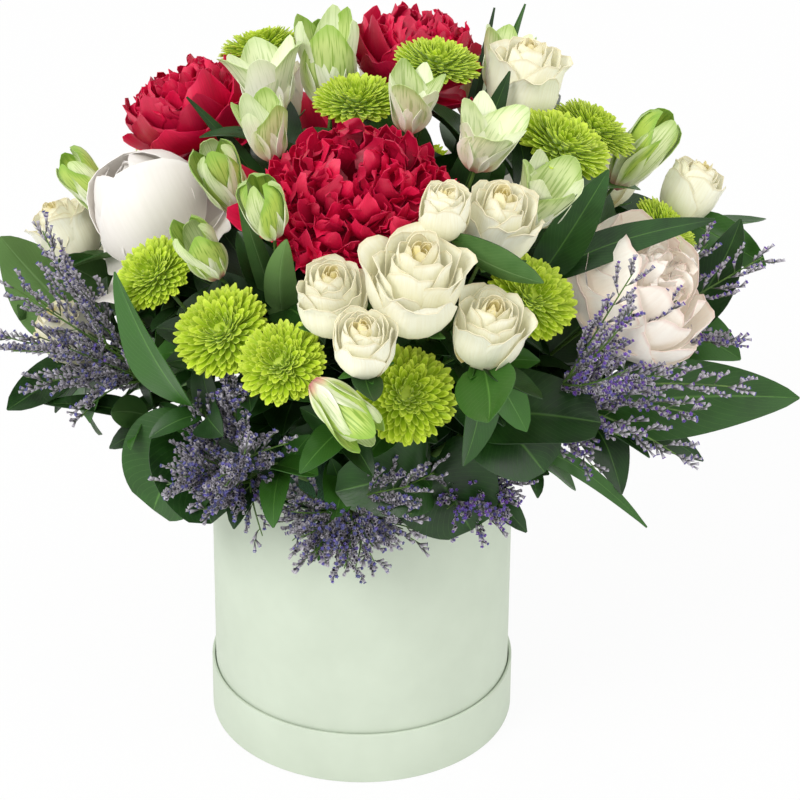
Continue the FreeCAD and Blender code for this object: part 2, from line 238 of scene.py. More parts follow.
def bump(tree, shader, height, strength, distance):
    """Shade a surface as if it stood up by a height."""
    made = place(tree, "ShaderNodeBump", {"Height": height, "Strength": strength, "Distance": distance})
    tree.links.new(made.outputs["Normal"], shader.inputs["Normal"])


# %% The grain group
def new_group(name, inputs, outputs):
    """An empty shader node group with named number inputs and outputs."""
    group = bpy.data.node_groups.new(name, "ShaderNodeTree")
    for label, value in inputs.items():
        group.interface.new_socket(label, in_out="INPUT", socket_type="NodeSocketFloat").default_value = value
    for label in outputs:
        group.interface.new_socket(label, in_out="OUTPUT", socket_type="NodeSocketFloat")
    return group, group.nodes.new("NodeGroupInput"), group.nodes.new("NodeGroupOutput")


def grain_group():
    """Cloudy and fine noise, at scales given per metre."""
    scales = {"Cloud Scale": 30.0, "Fibre Scale": 2500.0}
    group, given, result = new_group("grain", scales, ["Cloud", "Fibre"])
    spot = place(group, "ShaderNodeTexCoord").outputs["Object"]
    for label in ("Cloud", "Fibre"):
        noise = place(group, "ShaderNodeTexNoise", {"Vector": spot, "Scale": given.outputs[label + " Scale"],
                                                    "Detail": 3.0, "Roughness": 0.6})
        group.links.new(noise.outputs[0], result.inputs[label])
    return group


GRAIN = grain_group()
print("node group:", GRAIN.name)


def grain(tree, cloud, fibre):
    made = place(tree, "ShaderNodeGroup", {"Cloud Scale": cloud, "Fibre Scale": fibre}, node_tree=GRAIN)
    return made.outputs["Cloud"], made.outputs["Fibre"]


# %% Paper and board
def paper(name, deep, pale):
    material, tree, shader = new_material(name, 0.62)
    cloud, fibre = grain(tree, 22, 2600)
    tint = ramp(tree, cloud, [(0.3, deep), (0.7, pale)])
    flecked = mix(tree, times(tree, fibre, 0.12), tint, "#f3f6ee")
    feed(tree, shader, {"Base Color": flecked, "Roughness": between(tree, fibre, 0.3, 0.7, 0.56, 0.72)})
    bump(tree, shader, fibre, 0.18, 0.0002)
    return material


MINT_PAPER = paper("mint_paper", "#c1ccb9", "#c8d3c0")
BOARD = paper("board", "#cdd8c4", "#d6e1cd")
print("papers:", MINT_PAPER.name, BOARD.name)

# %% [markdown]
# ## The box and its lid
# Both are tubes of board with a round of board glued in one end, and paper wrapped over the
# edges. A cylinder with no ends is the start; Solidify gives it the board's thickness towards
# the inside, and a small bevel rounds the rims the way wrapped paper does. The box's sizes
# are read from the CAD nodes, so nothing here can drift away from them.

# %% Wall and lid rim
SIDES = 192
WRAP_ROUND = 0.0006
CREASE = radians(40)
PANEL_LOW, PANEL_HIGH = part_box("lid_panel")
BOARD_THICKNESS = PANEL_HIGH.z - PANEL_LOW.z


def node_cylinder(node, name, ends, slack=0.0):
    """A cylinder of the size of a round CAD node, left selected."""
    low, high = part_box(node)
    bpy.ops.object.select_all(action="DESELECT")
    bpy.ops.mesh.primitive_cylinder_add(vertices=SIDES, radius=high.x - slack, depth=high.z - low.z,
                                        end_fill_type=ends, location=(0, 0, (low.z + high.z) / 2))
    made = bpy.context.object
    made.name = name
    bpy.ops.object.transform_apply(location=True, rotation=True, scale=True)
    return made


def thicken(piece, thickness):
    """Give a skin its thickness, towards the inside."""
    wall = piece.modifiers.new("wall", "SOLIDIFY")
    wall.thickness = thickness
    wall.offset = -1
    bpy.ops.object.modifier_apply(modifier="wall")


def board_tube(node):
    made = node_cylinder(node, node + "_paper", "NOTHING")
    thicken(made, BOARD_THICKNESS)
    edge = made.modifiers.new("wrapped_edge", "BEVEL")
    edge.width = WRAP_ROUND
    edge.segments = 3
    edge.limit_method = "ANGLE"
    bpy.ops.object.modifier_apply(modifier="wrapped_edge")
    bpy.ops.object.shade_smooth_by_angle(angle=CREASE)
    made.data.materials.append(MINT_PAPER)
    return made


def dress(piece, body, node=None):
    """The piece moves with a body, and may stand for a CAD node, which is then hidden."""
    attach(piece, body)
    if node:
        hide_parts(node)


for node, body in (("box_wall", "box"), ("lid_rim", "lid")):
    wall = board_tube(node)
    dress(wall, body, node)
    print(wall.name, len(wall.data.polygons), "faces")
for node in ("lid_panel", "box_base"):
    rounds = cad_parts[node]
    rounds.data.materials.clear()
    rounds.data.materials.append(BOARD)

# %% [markdown]
# ## The liner and the foam
# A frosted film keeps the water off the board, and a block of green foam holds the stems.
# Both show only when the arrangement is lifted out. The film is a thin cup; the foam is a
# cylinder whose top edge is cut to a bevel, as a florist trims it with a knife.


# %% Film and foam finishes
def film_finish():
    material, tree, shader = new_material("liner_film", 0.3)
    cloud = grain(tree, 60, 400)[0]
    feed(tree, shader, {"Base Color": ramp(tree, cloud, [(0.3, "#aabaa8"), (0.7, "#b6c4b4")]),
                        "Roughness": between(tree, cloud, 0.3, 0.7, 0.22, 0.4), "Coat Weight": 0.2})
    bump(tree, shader, cloud, 0.3, 0.001)
    return material


def foam_finish():
    material, tree, shader = new_material("floral_foam", 0.9)
    cloud, fibre = grain(tree, 40, 1400)
    tint = ramp(tree, cloud, [(0.3, "#24482c"), (0.7, "#3b6b41")])
    pores = between(tree, fibre, 0.35, 0.55)
    feed(tree, shader, {"Base Color": mix(tree, pores, "#18331f", tint)})
    bump(tree, shader, fibre, 0.8, 0.0008)
    return material


# %% Film cup and foam block
FOAM_LOW, FOAM_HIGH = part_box("floral_foam")
FOAM_SHOULDER = 0.025
FOAM_SLACK = 0.0004
TOP_BAND = 0.001


def select_top(piece):
    """Go into edit mode with only the topmost points selected."""
    level = max(vert.co.z for vert in piece.data.vertices) - TOP_BAND
    bpy.ops.object.mode_set(mode="EDIT")
    bpy.ops.mesh.select_mode(type="VERT")
    bpy.ops.mesh.select_all(action="DESELECT")
    bpy.ops.object.mode_set(mode="OBJECT")
    for vert in piece.data.vertices:
        vert.select = vert.co.z > level
    bpy.ops.object.mode_set(mode="EDIT")


def liner_cup():
    cup = node_cylinder("liner", "liner_film", "NGON")
    select_top(cup)
    bpy.ops.mesh.delete(type="ONLY_FACE")
    bpy.ops.object.mode_set(mode="OBJECT")
    thicken(cup, FOAM_LOW.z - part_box("liner")[0].z)
    bpy.ops.object.shade_smooth_by_angle(angle=CREASE)
    cup.data.materials.append(film_finish())
    return cup


def foam_block():
    block = node_cylinder("floral_foam", "foam_block", "NGON", FOAM_SLACK)
    select_top(block)
    bpy.ops.mesh.bevel(offset=FOAM_SHOULDER, segments=6, affect="EDGES")
    bpy.ops.object.mode_set(mode="OBJECT")
    bpy.ops.object.shade_smooth_by_angle(angle=radians(30))
    block.data.materials.append(foam_finish())
    return block


for piece, node, slot in ((liner_cup(), "liner", "liner_film"), (foam_block(), "floral_foam", "foam")):
    dress(piece, "arrangement", node)
    print(piece.name, [round(x, 3) for x in piece.dimensions])

# %% [markdown]
# ## Reading the plants' places
# Each plant node is a handful of plain solids. They are told apart by their shape: a stem
# starts deep in the foam, a stalk is thin, a head is deep as well as wide, and what is left is
# a leaf. On a limonium all but the stem are sprigs. All stems aim at one spot low in the foam,
# so that spot is found first, as the point nearest to every stem's line, and each head then
# faces away from it.

# %% Split a node into its solids
WELD = 1e-5
NEARLY_UP = 0.99
END_SHARE = 0.1


def solids_of(node):
    """Corner points of each separate solid in a CAD node: faces that share edges belong together."""
    mesh = bmesh.new()
    mesh.from_mesh(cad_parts[node].data)
    bmesh.ops.remove_doubles(mesh, verts=mesh.verts, dist=WELD)
    mesh.faces.index_update()
    seen = set()
    found = []
    for first in mesh.faces:
        if first.index in seen:
            continue
        seen.add(first.index)
        group = [first]
        for face in group:
            for other in (near for edge in face.edges for near in edge.link_faces):
                if other.index not in seen:
                    seen.add(other.index)
                    group.append(other)
        corners = dict.fromkeys(vert for face in group for vert in face.verts)
        found.append(np.array([vert.co[:] for vert in corners]))
    mesh.free()
    return found


def unit(vector):
    return vector / np.linalg.norm(vector)


def cross_axes(axis):
    """Two unit vectors square to an axis and to each other."""
    guide = np.array([1.0, 0, 0]) if abs(axis[2]) > NEARLY_UP else np.array([0, 0, 1.0])
    across = unit(np.cross(guide, axis))
    return across, np.cross(axis, across)


def line_of(points):
    """Middle and direction of a long solid."""
    middle = points.mean(0)
    return middle, np.linalg.svd(points - middle)[2][0]


def ends_of(points, near):
    """Middles of a long solid's two ends, the one nearer to a point first."""
    middle, way = line_of(points)
    along = (points - middle) @ way
    cut = END_SHARE * (along.max() - along.min())
    ends = [points[along < along.min() + cut].mean(0), points[along > along.max() - cut].mean(0)]
    return sorted(ends, key=lambda end: np.linalg.norm(end - near))


# %% Find the heart
BOX_PARTS = {"lid_panel", "lid_rim", "box_base", "box_wall", "liner", "floral_foam"}
PLANTS = sorted(set(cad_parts) - BOX_PARTS)
SOLIDS = {node: solids_of(node) for node in PLANTS}
STEM_ZONE = 0.7


def is_stem(points):
    inside = np.hypot(points[:, 0], points[:, 1]) < STEM_ZONE * FOAM_HIGH.x
    return bool((inside & (points[:, 2] < FOAM_HIGH.z)).any())


def meeting_point():
    """The point nearest to all the stems' lines."""
    left = np.zeros((3, 3))
    right = np.zeros(3)
    for node in PLANTS:
        for points in filter(is_stem, SOLIDS[node]):
            middle, way = line_of(points)
            square = np.eye(3) - np.outer(way, way)
            left += square
            right += square @ middle
    return np.linalg.solve(left, right)


HEART = meeting_point()
print("heart at", HEART.round(4))

# %% Sort each plant's solids
Head = namedtuple("Head", "neck axis radius height")
Stem = namedtuple("Stem", "start fork axis")
Blade = namedtuple("Blade", "root lead tip points")
Plant = namedtuple("Plant", "stems stalks heads blades")
THIN = 0.004
DEEP = 0.42
LEAF_LEAD = 0.4
SPRIG_LEAD = 0.55
ROOT_CORNERS = 3


def head_of(points):
    axis = unit(points.mean(0) - HEART)
    along = (points - HEART) @ axis
    aside = np.linalg.norm(points - HEART - np.outer(along, axis), axis=1)
    neck = HEART + axis * along.min()
    return Head(neck, axis, aside.max(), along.max() - along.min())


def blade_of(points, stem, lead_share):
    root = points[np.argsort(np.linalg.norm(points - stem.fork, axis=1))[:ROOT_CORNERS]].mean(0)
    tip = points[np.argmax(np.linalg.norm(points - root, axis=1))]
    lead = root + stem.axis * lead_share * np.linalg.norm(tip - root)
    return Blade(root, lead, tip, points)


def plant_of(node):
    stems, stalks, heads, blades = [], [], [], []
    for points in filter(is_stem, SOLIDS[node]):
        start, fork = ends_of(points, HEART)
        stems.append(Stem(start, fork, unit(fork - start)))
    for points in SOLIDS[node]:
        if is_stem(points):
            continue
        middle = points.mean(0)
        sizes = np.ptp((points - middle) @ np.linalg.svd(points - middle)[2].T, axis=0)
        stem = min(stems, key=lambda s: np.linalg.norm(points - s.fork, axis=1).min())
        if node.startswith("limonium"):
            blades.append(blade_of(points, stem, SPRIG_LEAD))
        elif sizes[1] < THIN:
            stalks.append((*ends_of(points, HEART), stem))
        elif sizes[2] > DEEP * sizes[0]:
            heads.append(head_of(points))
        else:
            blades.append(blade_of(points, stem, LEAF_LEAD))
    return Plant(stems, stalks, heads, blades)


GARDEN = {node: plant_of(node) for node in PLANTS}
for part in Plant._fields:
    print(part, sum(len(getattr(plant, part)) for plant in GARDEN.values()))

# %% [markdown]
# ## Sheets and tubes
# A petal is a thin sheet that is bowed along its length, curved across its width, and ruffled
# at its edge. Pushing each one into shape by hand would take days, so a flat grid is added
# once and a formula moves its points: v runs from the petal's root to its edge, u across it.
# Copies go round the flower's axis, each with its own size and ruffle, and Solidify then gives
# them all a real thickness. Root to edge and side to side are kept as a UV map for the colours.
# Stems are tubes: a ring of points carried along a line, and turned only as far as the line
# itself turns, so that it doesn't twist.

# %% Flat sheets to start from
Sheet = namedtuple("Sheet", "u v faces")


def flat_sheet(columns, rows):
    bpy.ops.object.select_all(action="DESELECT")
    bpy.ops.mesh.primitive_grid_add(x_subdivisions=columns, y_subdivisions=rows, size=2)
    grid = bpy.context.object
    spots = np.array([vert.co[:2] for vert in grid.data.vertices])
    faces = [tuple(face.vertices) for face in grid.data.polygons]
    bpy.data.objects.remove(grid)
    return Sheet(spots[:, 0], (spots[:, 1] + 1) / 2, faces)


WIDE_SHEET = flat_sheet(10, 12)
ROSE_SHEET = flat_sheet(8, 8)
SMALL_SHEET = flat_sheet(6, 6)
STRAP_SHEET = flat_sheet(3, 4)
LEAF_SHEET = flat_sheet(8, 20)
STEM_LEAF_SHEET = flat_sheet(4, 10)
SHEETS = (WIDE_SHEET, ROSE_SHEET, SMALL_SHEET, STRAP_SHEET, LEAF_SHEET, STEM_LEAF_SHEET)
print("sheets of", [len(sheet.faces) for sheet in SHEETS], "faces")


# %% Gather sheets into one piece
SHEET_CREASE = radians(55)


class Sheaf:
    """Many small sheets that become one piece, with a UV map and two numbers per point."""

    def __init__(self):
        self.points, self.faces, self.spots, self.tones, self.rows = [], [], [], [], []
        self.count = 0

    def add(self, points, sheet, tone=0.5, row=0.5):
        self.points.append(points)
        self.faces += [tuple(k + self.count for k in face) for face in sheet.faces]
        self.spots.append(np.stack([(sheet.u + 1) / 2, sheet.v], axis=1))
        self.tones.append(np.full(len(points), tone))
        self.rows.append(np.full(len(points), row))
        self.count += len(points)

    def piece(self, name, materials, thickness):
        mesh = bpy.data.meshes.new(name)
        mesh.from_pydata(np.concatenate(self.points).tolist(), [], self.faces)
        corners = np.concatenate([np.array(face) for face in self.faces])
        spots = np.concatenate(self.spots)[corners]
        mesh.uv_layers.new(name="UVMap").data.foreach_set("uv", spots.ravel())
        for label, values in (("tone", self.tones), ("row", self.rows)):
            field = mesh.attributes.new(label, "FLOAT", "POINT")
            field.data.foreach_set("value", np.concatenate(values))
        made = bpy.data.objects.new(name, mesh)
        bpy.context.scene.collection.objects.link(made)
        for material in materials:
            mesh.materials.append(material)
        bpy.ops.object.select_all(action="DESELECT")
        bpy.context.view_layer.objects.active = made
        made.select_set(True)
        if thickness:
            skin = made.modifiers.new("thickness", "SOLIDIFY")
            skin.thickness = thickness
            skin.offset = 0
            skin.material_offset = len(materials) - 1
            bpy.ops.object.modifier_apply(modifier="thickness")
        bpy.ops.object.shade_smooth_by_angle(angle=SHEET_CREASE)
        return made


# %% A round tube
def tube(path, radii, sides):
    """A round tube through points, closed at both ends, with its sheet of faces."""
    way = np.gradient(path, axis=0)
    way /= np.linalg.norm(way, axis=1)[:, None]
    side = cross_axes(way[0])[0]
    rings = []
    angles = np.linspace(0, 2 * pi, sides, endpoint=False)
    for spot, line, radius in zip(path, way, radii):
        side = unit(side - line * (side @ line))
        other = np.cross(line, side)
        rings.append(spot + radius * (np.outer(np.cos(angles), side) + np.outer(np.sin(angles), other)))
    faces = []
    for level in range(len(path) - 1):
        for k in range(sides):
            after = (k + 1) % sides
            low = level * sides
            faces.append((low + k, low + after, low + sides + after, low + sides + k))
    last = (len(path) - 1) * sides
    faces.append(tuple(range(sides - 1, -1, -1)))
    faces.append(tuple(range(last, last + sides)))
    u = np.tile(np.linspace(-1, 1, sides), len(path))
    v = np.repeat(np.linspace(0, 1, len(path)), sides)
    return np.concatenate(rings), Sheet(u, v, faces)


# %% Shape one petal
BOW_STEPS = 40
WIDEST = 0.65
ROLL_FROM = 0.7


def petal(sheet, rng, base, tip, width, curl, wrap, narrow=0.4, blunt=0.3, point=2.5, frill=0.0,
          ruffle=0.0, crumple=0.0, taper=0.25, roll=0.0, sway=0.0, twist=0.0):
    """A petal's points as (out from the axis, across, up the axis).

    base and tip are (out, up); curl bows it towards the axis; wrap is the radius that it is
    rolled round; roll turns its edge outwards; frill notches the edge, ruffle waves it and
    crumple dents the whole petal; sway leans it aside and twist turns it about its own length.
    """
    u, v = sheet.u, sheet.v
    phase = rng.uniform(0, 2 * pi, 3)
    edge = 1 - blunt * np.abs(u) ** point - frill * (0.5 + 0.5 * np.sin(6.5 * u + phase[0]))
    share = v * edge
    span = np.hypot(tip[0] - base[0], tip[1] - base[1])
    lean = atan2(tip[0] - base[0], tip[1] - base[1])
    line = np.linspace(0, 1, BOW_STEPS + 1)
    slope = lean + curl * (0.5 - line) + roll * np.clip((line - ROLL_FROM) / (1 - ROLL_FROM), 0, 1) ** 2
    step = span / np.sinc(curl / (2 * pi)) / BOW_STEPS
    middle = (slope[1:] + slope[:-1]) / 2
    out = base[0] + step * np.concatenate([[0], np.cumsum(np.sin(middle))])
    up = base[1] + step * np.concatenate([[0], np.cumsum(np.cos(middle))])
    half = width / 2 * (narrow + (1 - narrow) * np.sin(pi / 2 * np.minimum(1, v / WIDEST)))
    half *= 1 - taper * np.clip((v - WIDEST) / (1 - WIDEST), 0, 1) ** 2
    angle = u * half / wrap
    across = wrap * np.sin(angle) + sway * share * span
    lift = wrap * (1 - np.cos(angle))
    lift += ruffle * width * v ** 1.6 * (0.6 * np.sin(5 * u + phase[1]) + 0.4 * np.sin(9 * u + phase[2]))
    lift += crumple * width * v * np.sin(4.2 * u + phase[0]) * np.sin(7 * v + phase[1])
    lift += twist * across * v
    tilt = np.interp(share, line, slope)
    return (np.interp(share, line, out) - lift * np.cos(tilt), across,
            np.interp(share, line, up) + lift * np.sin(tilt))


# %% Place petals round an axis
GOLDEN = pi * (3 - 5 ** 0.5)


def spoke(axis, turn):
    """The way out from an axis at a turn round it."""
    across, along = cross_axes(axis)
    return across * cos(turn) + along * sin(turn)


def turn_to(axis, way):
    """The turn round an axis that faces a given way."""
    across, along = cross_axes(axis)
    return atan2(along @ way, across @ way)


def round_axis(head, turn, shape):
    """Put a petal's points at its turn round the flower's axis."""
    outward = spoke(head.axis, turn)
    aside = np.cross(head.axis, outward)
    out, side, up = shape
    return head.neck + np.outer(out, outward) + np.outer(side, aside) + np.outer(up, head.axis)


def dome_spots(count, crown, rim):
    """Evenly spread spots on a dome as (angle from the crown, turn, share from crown to rim)."""
    for k in range(count):
        share = (k + 0.5) / count
        yield np.arccos(cos(crown) + (cos(rim) - cos(crown)) * share), k * GOLDEN, share


# %% [markdown]
# ## What petals' finishes share
# Every petal shows fine veins from root to edge, a paler or darker rim, and a colour that
# differs a little from its neighbour's. One node group reads these from the UV map and from
# the two numbers that each petal carries, its tone and its row, and each flower's material
# mixes its own colours by them. Thin petals let light through, and a faint glow in the petal's
# own colour stands in for that.


# %% The petal group
def petal_group():
    group, given, result = new_group("petal_map", {"Vein Scale": 40.0},
                                     ["Along", "Edge", "Middle", "Vein", "Tone", "Row"])
    spot = place(group, "ShaderNodeUVMap", uv_map="UVMap").outputs[0]
    axes = place(group, "ShaderNodeSeparateXYZ", {0: spot})
    side = maths(group, "ABSOLUTE", maths(group, "MULTIPLY_ADD", axes.outputs["X"], 2.0, -1.0))
    tone = place(group, "ShaderNodeAttribute", attribute_name="tone").outputs["Fac"]
    row = place(group, "ShaderNodeAttribute", attribute_name="row").outputs["Fac"]
    stretched = place(group, "ShaderNodeCombineXYZ", {
        "X": times(group, axes.outputs["X"], given.outputs["Vein Scale"]),
        "Y": times(group, axes.outputs["Y"], 2.5),
        "Z": times(group, tone, 37.0)})
    vein = place(group, "ShaderNodeTexNoise", {"Vector": stretched.outputs[0], "Scale": 1.0, "Detail": 2.0})
    found = {"Along": axes.outputs["Y"], "Edge": maths(group, "MAXIMUM", side, axes.outputs["Y"]),
             "Middle": maths(group, "SUBTRACT", 1.0, side), "Vein": vein.outputs[0], "Tone": tone, "Row": row}
    for label, value in found.items():
        group.links.new(value, result.inputs[label])
    return group


PETAL_MAP = petal_group()
print("node group:", PETAL_MAP.name)


# %% Petal finishes
def petal_map(tree, veins):
    return place(tree, "ShaderNodeGroup", {"Vein Scale": veins}, node_tree=PETAL_MAP).outputs


def petal_finish(name, along, vein_dark, rim, rim_width, inner, glow, roughness=0.5, sheen=0.25,
                 veins=40, uneven=0.1):
    """Colours from root to edge, darker veins, a tinted rim, another tint for the inner rows, and a painted
    glow in the same colour.
    """
    material, tree, shader = new_material(name, roughness)
    spot = petal_map(tree, veins)
    tint = ramp(tree, spot["Along"], along)
    tint = mix(tree, between(tree, spot["Row"], 0.45, 0.0), tint, inner)
    tint = mix(tree, times(tree, between(tree, spot["Vein"], 0.35, 0.7), 0.35), tint, vein_dark)
    tint = mix(tree, times(tree, between(tree, spot["Edge"], 1 - rim_width, 1.0), 0.6), tint, rim)
    tint = brightened(tree, tint, between(tree, spot["Tone"], 0.0, 1.0, 1 - uneven, 1 + uneven / 2))
    # The emission is painted light: a faint glow in the petal's own colour lifts its shade, in place of light
    # through thin petals.
    feed(tree, shader, {"Base Color": tint, "Emission Color": tint, "Emission Strength": glow,
                        "Sheen Weight": sheen, "Sheen Roughness": 0.4})
    bump(tree, shader, spot["Vein"], 0.25, 0.0006)
    return material


# glow is the strength of each finish's painted light, a glow in its own colour.
CRIMSON = petal_finish("crimson_petal", [(0.0, "#7a0320"), (0.5, "#c0043a"), (1.0, "#dc0a46")],
                       "#a8042e", "#d41049", 0.1, "#cc0a3e", glow=0.05, sheen=0.0, uneven=0.24)
WHITE = petal_finish("white_petal", [(0.0, "#dfdec8"), (0.4, "#e6e1d9"), (1.0, "#e8e3dd")],
                     "#e0dbd2", "#eeeae5", 0.1, "#e8e2d4", glow=0.06, uneven=0.03)
BLUSH = petal_finish("blush_petal", [(0.0, "#efe3cc"), (0.45, "#f4ede0"), (1.0, "#f5efe5")],
                     "#efe3d6", "#e0bfb2", 0.05, "#f2d6c6", glow=0.09, uneven=0.04)
CREAM = petal_finish("cream_petal", [(0.0, "#e0d28e"), (0.4, "#eeebcc"), (1.0, "#f3f2e0")],
                     "#e6e0bc", "#dccfa6", 0.05, "#e8da92", glow=0.08, uneven=0.05)
LIME = petal_finish("lime_floret", [(0.0, "#628212"), (0.45, "#a2c312"), (1.0, "#c4da2a")],
                    "#92b010", "#d2e450", 0.2, "#98b618", glow=0.05, roughness=0.55, veins=8)
print("petal finishes:", [m.name for m in (CRIMSON, WHITE, BLUSH, CREAM, LIME)])

# %% [markdown]
# ## Peonies
# A double peony has a few broad guard petals and a heart packed with small crinkled ones. The
# crimson ones are dense and notched, so small petals are spread over a dome like the seeds of
# a sunflower. The white ones are still closed: rings of smooth cups, each bowed in over the
# last, above a ring of guard petals that lie open. The blush ones come between, with loose
# outer cups and a small tight heart. A table holds each kind's rings, as shares of its own size.

# %% Tables of petal rings
Ring = namedtuple("Ring", "count start base tip width curl wrap blunt frill ruffle crumple row taper roll",
                  defaults=(0.0, 0.8, 0.25, 0.0))
Crinkles = namedtuple("Crinkles", "count rim dome broad")
# A stray is a loose petal: its turn on from STRAY_WAY, and its tip.
Peony = namedtuple("Peony", "material slot spread rings hearts strays")
GLOBE_GUARD = (-0.8, -0.6, 0)
STRAY_WAY = (-1, 0.3, 0.1)

CRIMSON_OPEN = [Ring(8, 0.0, (0.12, 0.06), (0.86, 0.50), 0.90, 1.8, 0.90, 0.38, 0.06, 0.04, 0.03),
                Ring(8, 0.4, (0.12, 0.10), (0.88, 0.72), 0.85, 1.7, 0.85, 0.38, 0.08, 0.06, 0.04),
                Ring(9, 0.1, (0.20, 0.20), (0.86, 0.88), 0.65, 1.6, 0.70, 0.40, 0.12, 0.08, 0.06)]
CRIMSON_CUP = [Ring(5, 0.5, (0.1, 0.00), (1.00, 0.10), 1.15, 1.7, 1.20, 0.38, 0.06, 0.05, 0.04),
               Ring(5, 0.2, (0.1, 0.05), (1.05, 0.60), 1.25, 1.2, 1.00, 0.38, 0.06, 0.04, 0.03),
               Ring(6, 0.8, (0.1, 0.08), (0.94, 0.92), 1.15, 1.6, 0.90, 0.38, 0.06, 0.05, 0.03),
               Ring(6, 0.1, (0.1, 0.10), (0.76, 1.10), 1.00, 1.7, 0.75, 0.38, 0.08, 0.06, 0.04)]
WHITE_GLOBE = [Ring(4, GLOBE_GUARD, (0.1, 0.02), (1.34, 0.3), 1.5, 0.9, 1.4, 0.38, 0.03, 0.03, roll=0.3),
               Ring(3, 0.3, (0.15, 0.03), (0.28, 1.52), 2.22, 2.60, 0.87, 0.30, 0.02, 0.010, taper=0.05),
               Ring(3, 1.3, (0.13, 0.06), (0.20, 1.50), 2.10, 2.15, 0.70, 0.30, 0.02, 0.012, 0, 0.7, 0.05),
               Ring(4, 0.6, (0.11, 0.08), (0.14, 1.48), 1.60, 1.90, 0.58, 0.30, 0.03, 0.020, 0, 0.5, 0.05),
               Ring(5, 1.0, (0.10, 0.10), (0.06, 1.44), 1.20, 1.70, 0.46, 0.35, 0.00, 0.040, 0, 0.4, 0.05)]
BLUSH_CUPS = [Ring(5, 0.1, (0.1, 0.02), (1.00, 0.56), 1.60, 1.6, 1.15, 0.34, 0.04, 0.03),
              Ring(5, 0.6, (0.1, 0.05), (0.92, 0.86), 1.60, 1.8, 1.05, 0.34, 0.04, 0.03),
              Ring(5, 0.2, (0.1, 0.06), (0.76, 1.04), 1.50, 1.9, 0.95, 0.32, 0.05, 0.03),
              Ring(5, 0.9, (0.1, 0.08), (0.58, 1.14), 1.25, 1.9, 0.80, 0.24, 0.05, 0.04, row=0.5),
              Ring(6, 0.3, (0.1, 0.10), (0.38, 1.18), 0.90, 1.8, 0.60, 0.30, 0.06, 0.05, row=0.3)]
PEONIES = {
    "peony_crimson_front": Peony(CRIMSON, "crimson_petal", 1.14, CRIMSON_OPEN,
                                 [Crinkles(330, radians(80), (0.90, 0.38, 1.1), 0.22),
                                  Crinkles(30, radians(30), (0.90, 0.50, 1.2), 0.24)],
                                 [(0.0, (1.4, 0.75)), (0.4, (1.25, 0.55)), (pi, (1.25, 0.7))]),
    "peony_crimson": Peony(CRIMSON, "crimson_petal", 1.1, CRIMSON_CUP,
                           [Crinkles(120, radians(60), (0.8, 0.55, 1.2), 0.3)], []),
    "peony_white": Peony(WHITE, "white_petal", 1.12, WHITE_GLOBE, [], []),
    "peony_blush": Peony(BLUSH, "blush_petal", 1.27, BLUSH_CUPS,
                         [Crinkles(36, radians(34), (0.6, 0.5, 1.14), 0.26)], [])}
print("petal rings:", {kind: len(style.rings) for kind, style in PEONIES.items()})


# %% Peony builders
def ring_of_petals(sheaf, head, rng, size, ring):
    """Petals round the axis, each a little different from the next. A ring may start at a given way."""
    start = ring.start if np.isscalar(ring.start) else turn_to(head.axis, ring.start)
    for k in range(ring.count):
        turn = start + 2 * pi * k / ring.count + rng.normal(0, 0.1)
        grow = size * rng.uniform(0.93, 1.06)
        points = petal(WIDE_SHEET, rng, np.array(ring.base) * size, np.array(ring.tip) * grow,
                       ring.width * grow, ring.curl, ring.wrap * size, blunt=ring.blunt,
                       frill=ring.frill, ruffle=ring.ruffle, crumple=ring.crumple, taper=ring.taper,
                       roll=ring.roll, sway=rng.normal(0, 0.08), twist=rng.normal(0, 0.06))
        sheaf.add(round_axis(head, turn, points), WIDE_SHEET, rng.uniform(), ring.row)


def crinkled_heart(sheaf, head, rng, size, heart):
    """Small crumpled petals that close over a dome, given as its radius, its foot and its top."""
    wide, foot, top = heart.dome
    for polar, turn, share in dome_spots(heart.count, radians(2), heart.rim):
        outward = spoke(head.axis, turn)
        normal = head.axis * cos(polar) + outward * sin(polar)
        down = outward * cos(polar) - head.axis * sin(polar)
        way = unit(normal - rng.uniform(0.0, 0.9) * down + rng.normal(0, 0.3, 3))
        reach = size * heart.broad * rng.uniform(1.2, 1.8)
        width = size * heart.broad * rng.uniform(0.9, 1.5)
        up = foot + (top - foot) * cos(polar)
        edge = head.neck + size * (outward * wide * sin(polar) + head.axis * up)
        tuft = Head(edge - way * reach * rng.uniform(0.8, 1.1), way, width, reach)
        facing = turn_to(way, down) + rng.normal(0, 0.7)
        points = petal(SMALL_SHEET, rng, (0, 0), (reach * rng.uniform(0.0, 0.4), reach), width,
                       curl=rng.uniform(0.3, 2.0), wrap=width * rng.uniform(0.45, 1.2), narrow=0.4,
                       blunt=rng.uniform(0.35, 0.55), point=2.1, frill=rng.uniform(0.03, 0.12),
                       ruffle=rng.uniform(0.05, 0.15), crumple=rng.uniform(0.04, 0.14),
                       roll=rng.uniform(-1.8, 0.6))
        sheaf.add(round_axis(tuft, facing, points), SMALL_SHEET, rng.uniform(), 0.4 + 0.6 * share)


def stray_petal(sheaf, head, rng, size, turn, tip):
    """One loose petal that stands out from the rest."""
    points = petal(WIDE_SHEET, rng, (0.1 * size, 0.2 * size), np.array(tip) * size, 0.62 * size,
                   curl=0.9, wrap=0.6 * size, blunt=0.42, frill=0.1, ruffle=0.09, crumple=0.06)
    sheaf.add(round_axis(head, turn_to(head.axis, STRAY_WAY) + turn, points), WIDE_SHEET, 0.7, 0.8)


def peony(sheaf, head, rng, style):
    size = head.radius * style.spread
    for ring in style.rings:
        ring_of_petals(sheaf, head, rng, size, ring)
    for heart in style.hearts:
        crinkled_heart(sheaf, head, rng, size, heart)
    for turn, tip in style.strays:
        stray_petal(sheaf, head, rng, size, turn, tip)


# %% Peonies in their places
PETAL_THICKNESS = 0.0004


def plants(kind):
    """The names of the plants of one kind."""
    return [node for node in PLANTS if node.startswith(kind)]


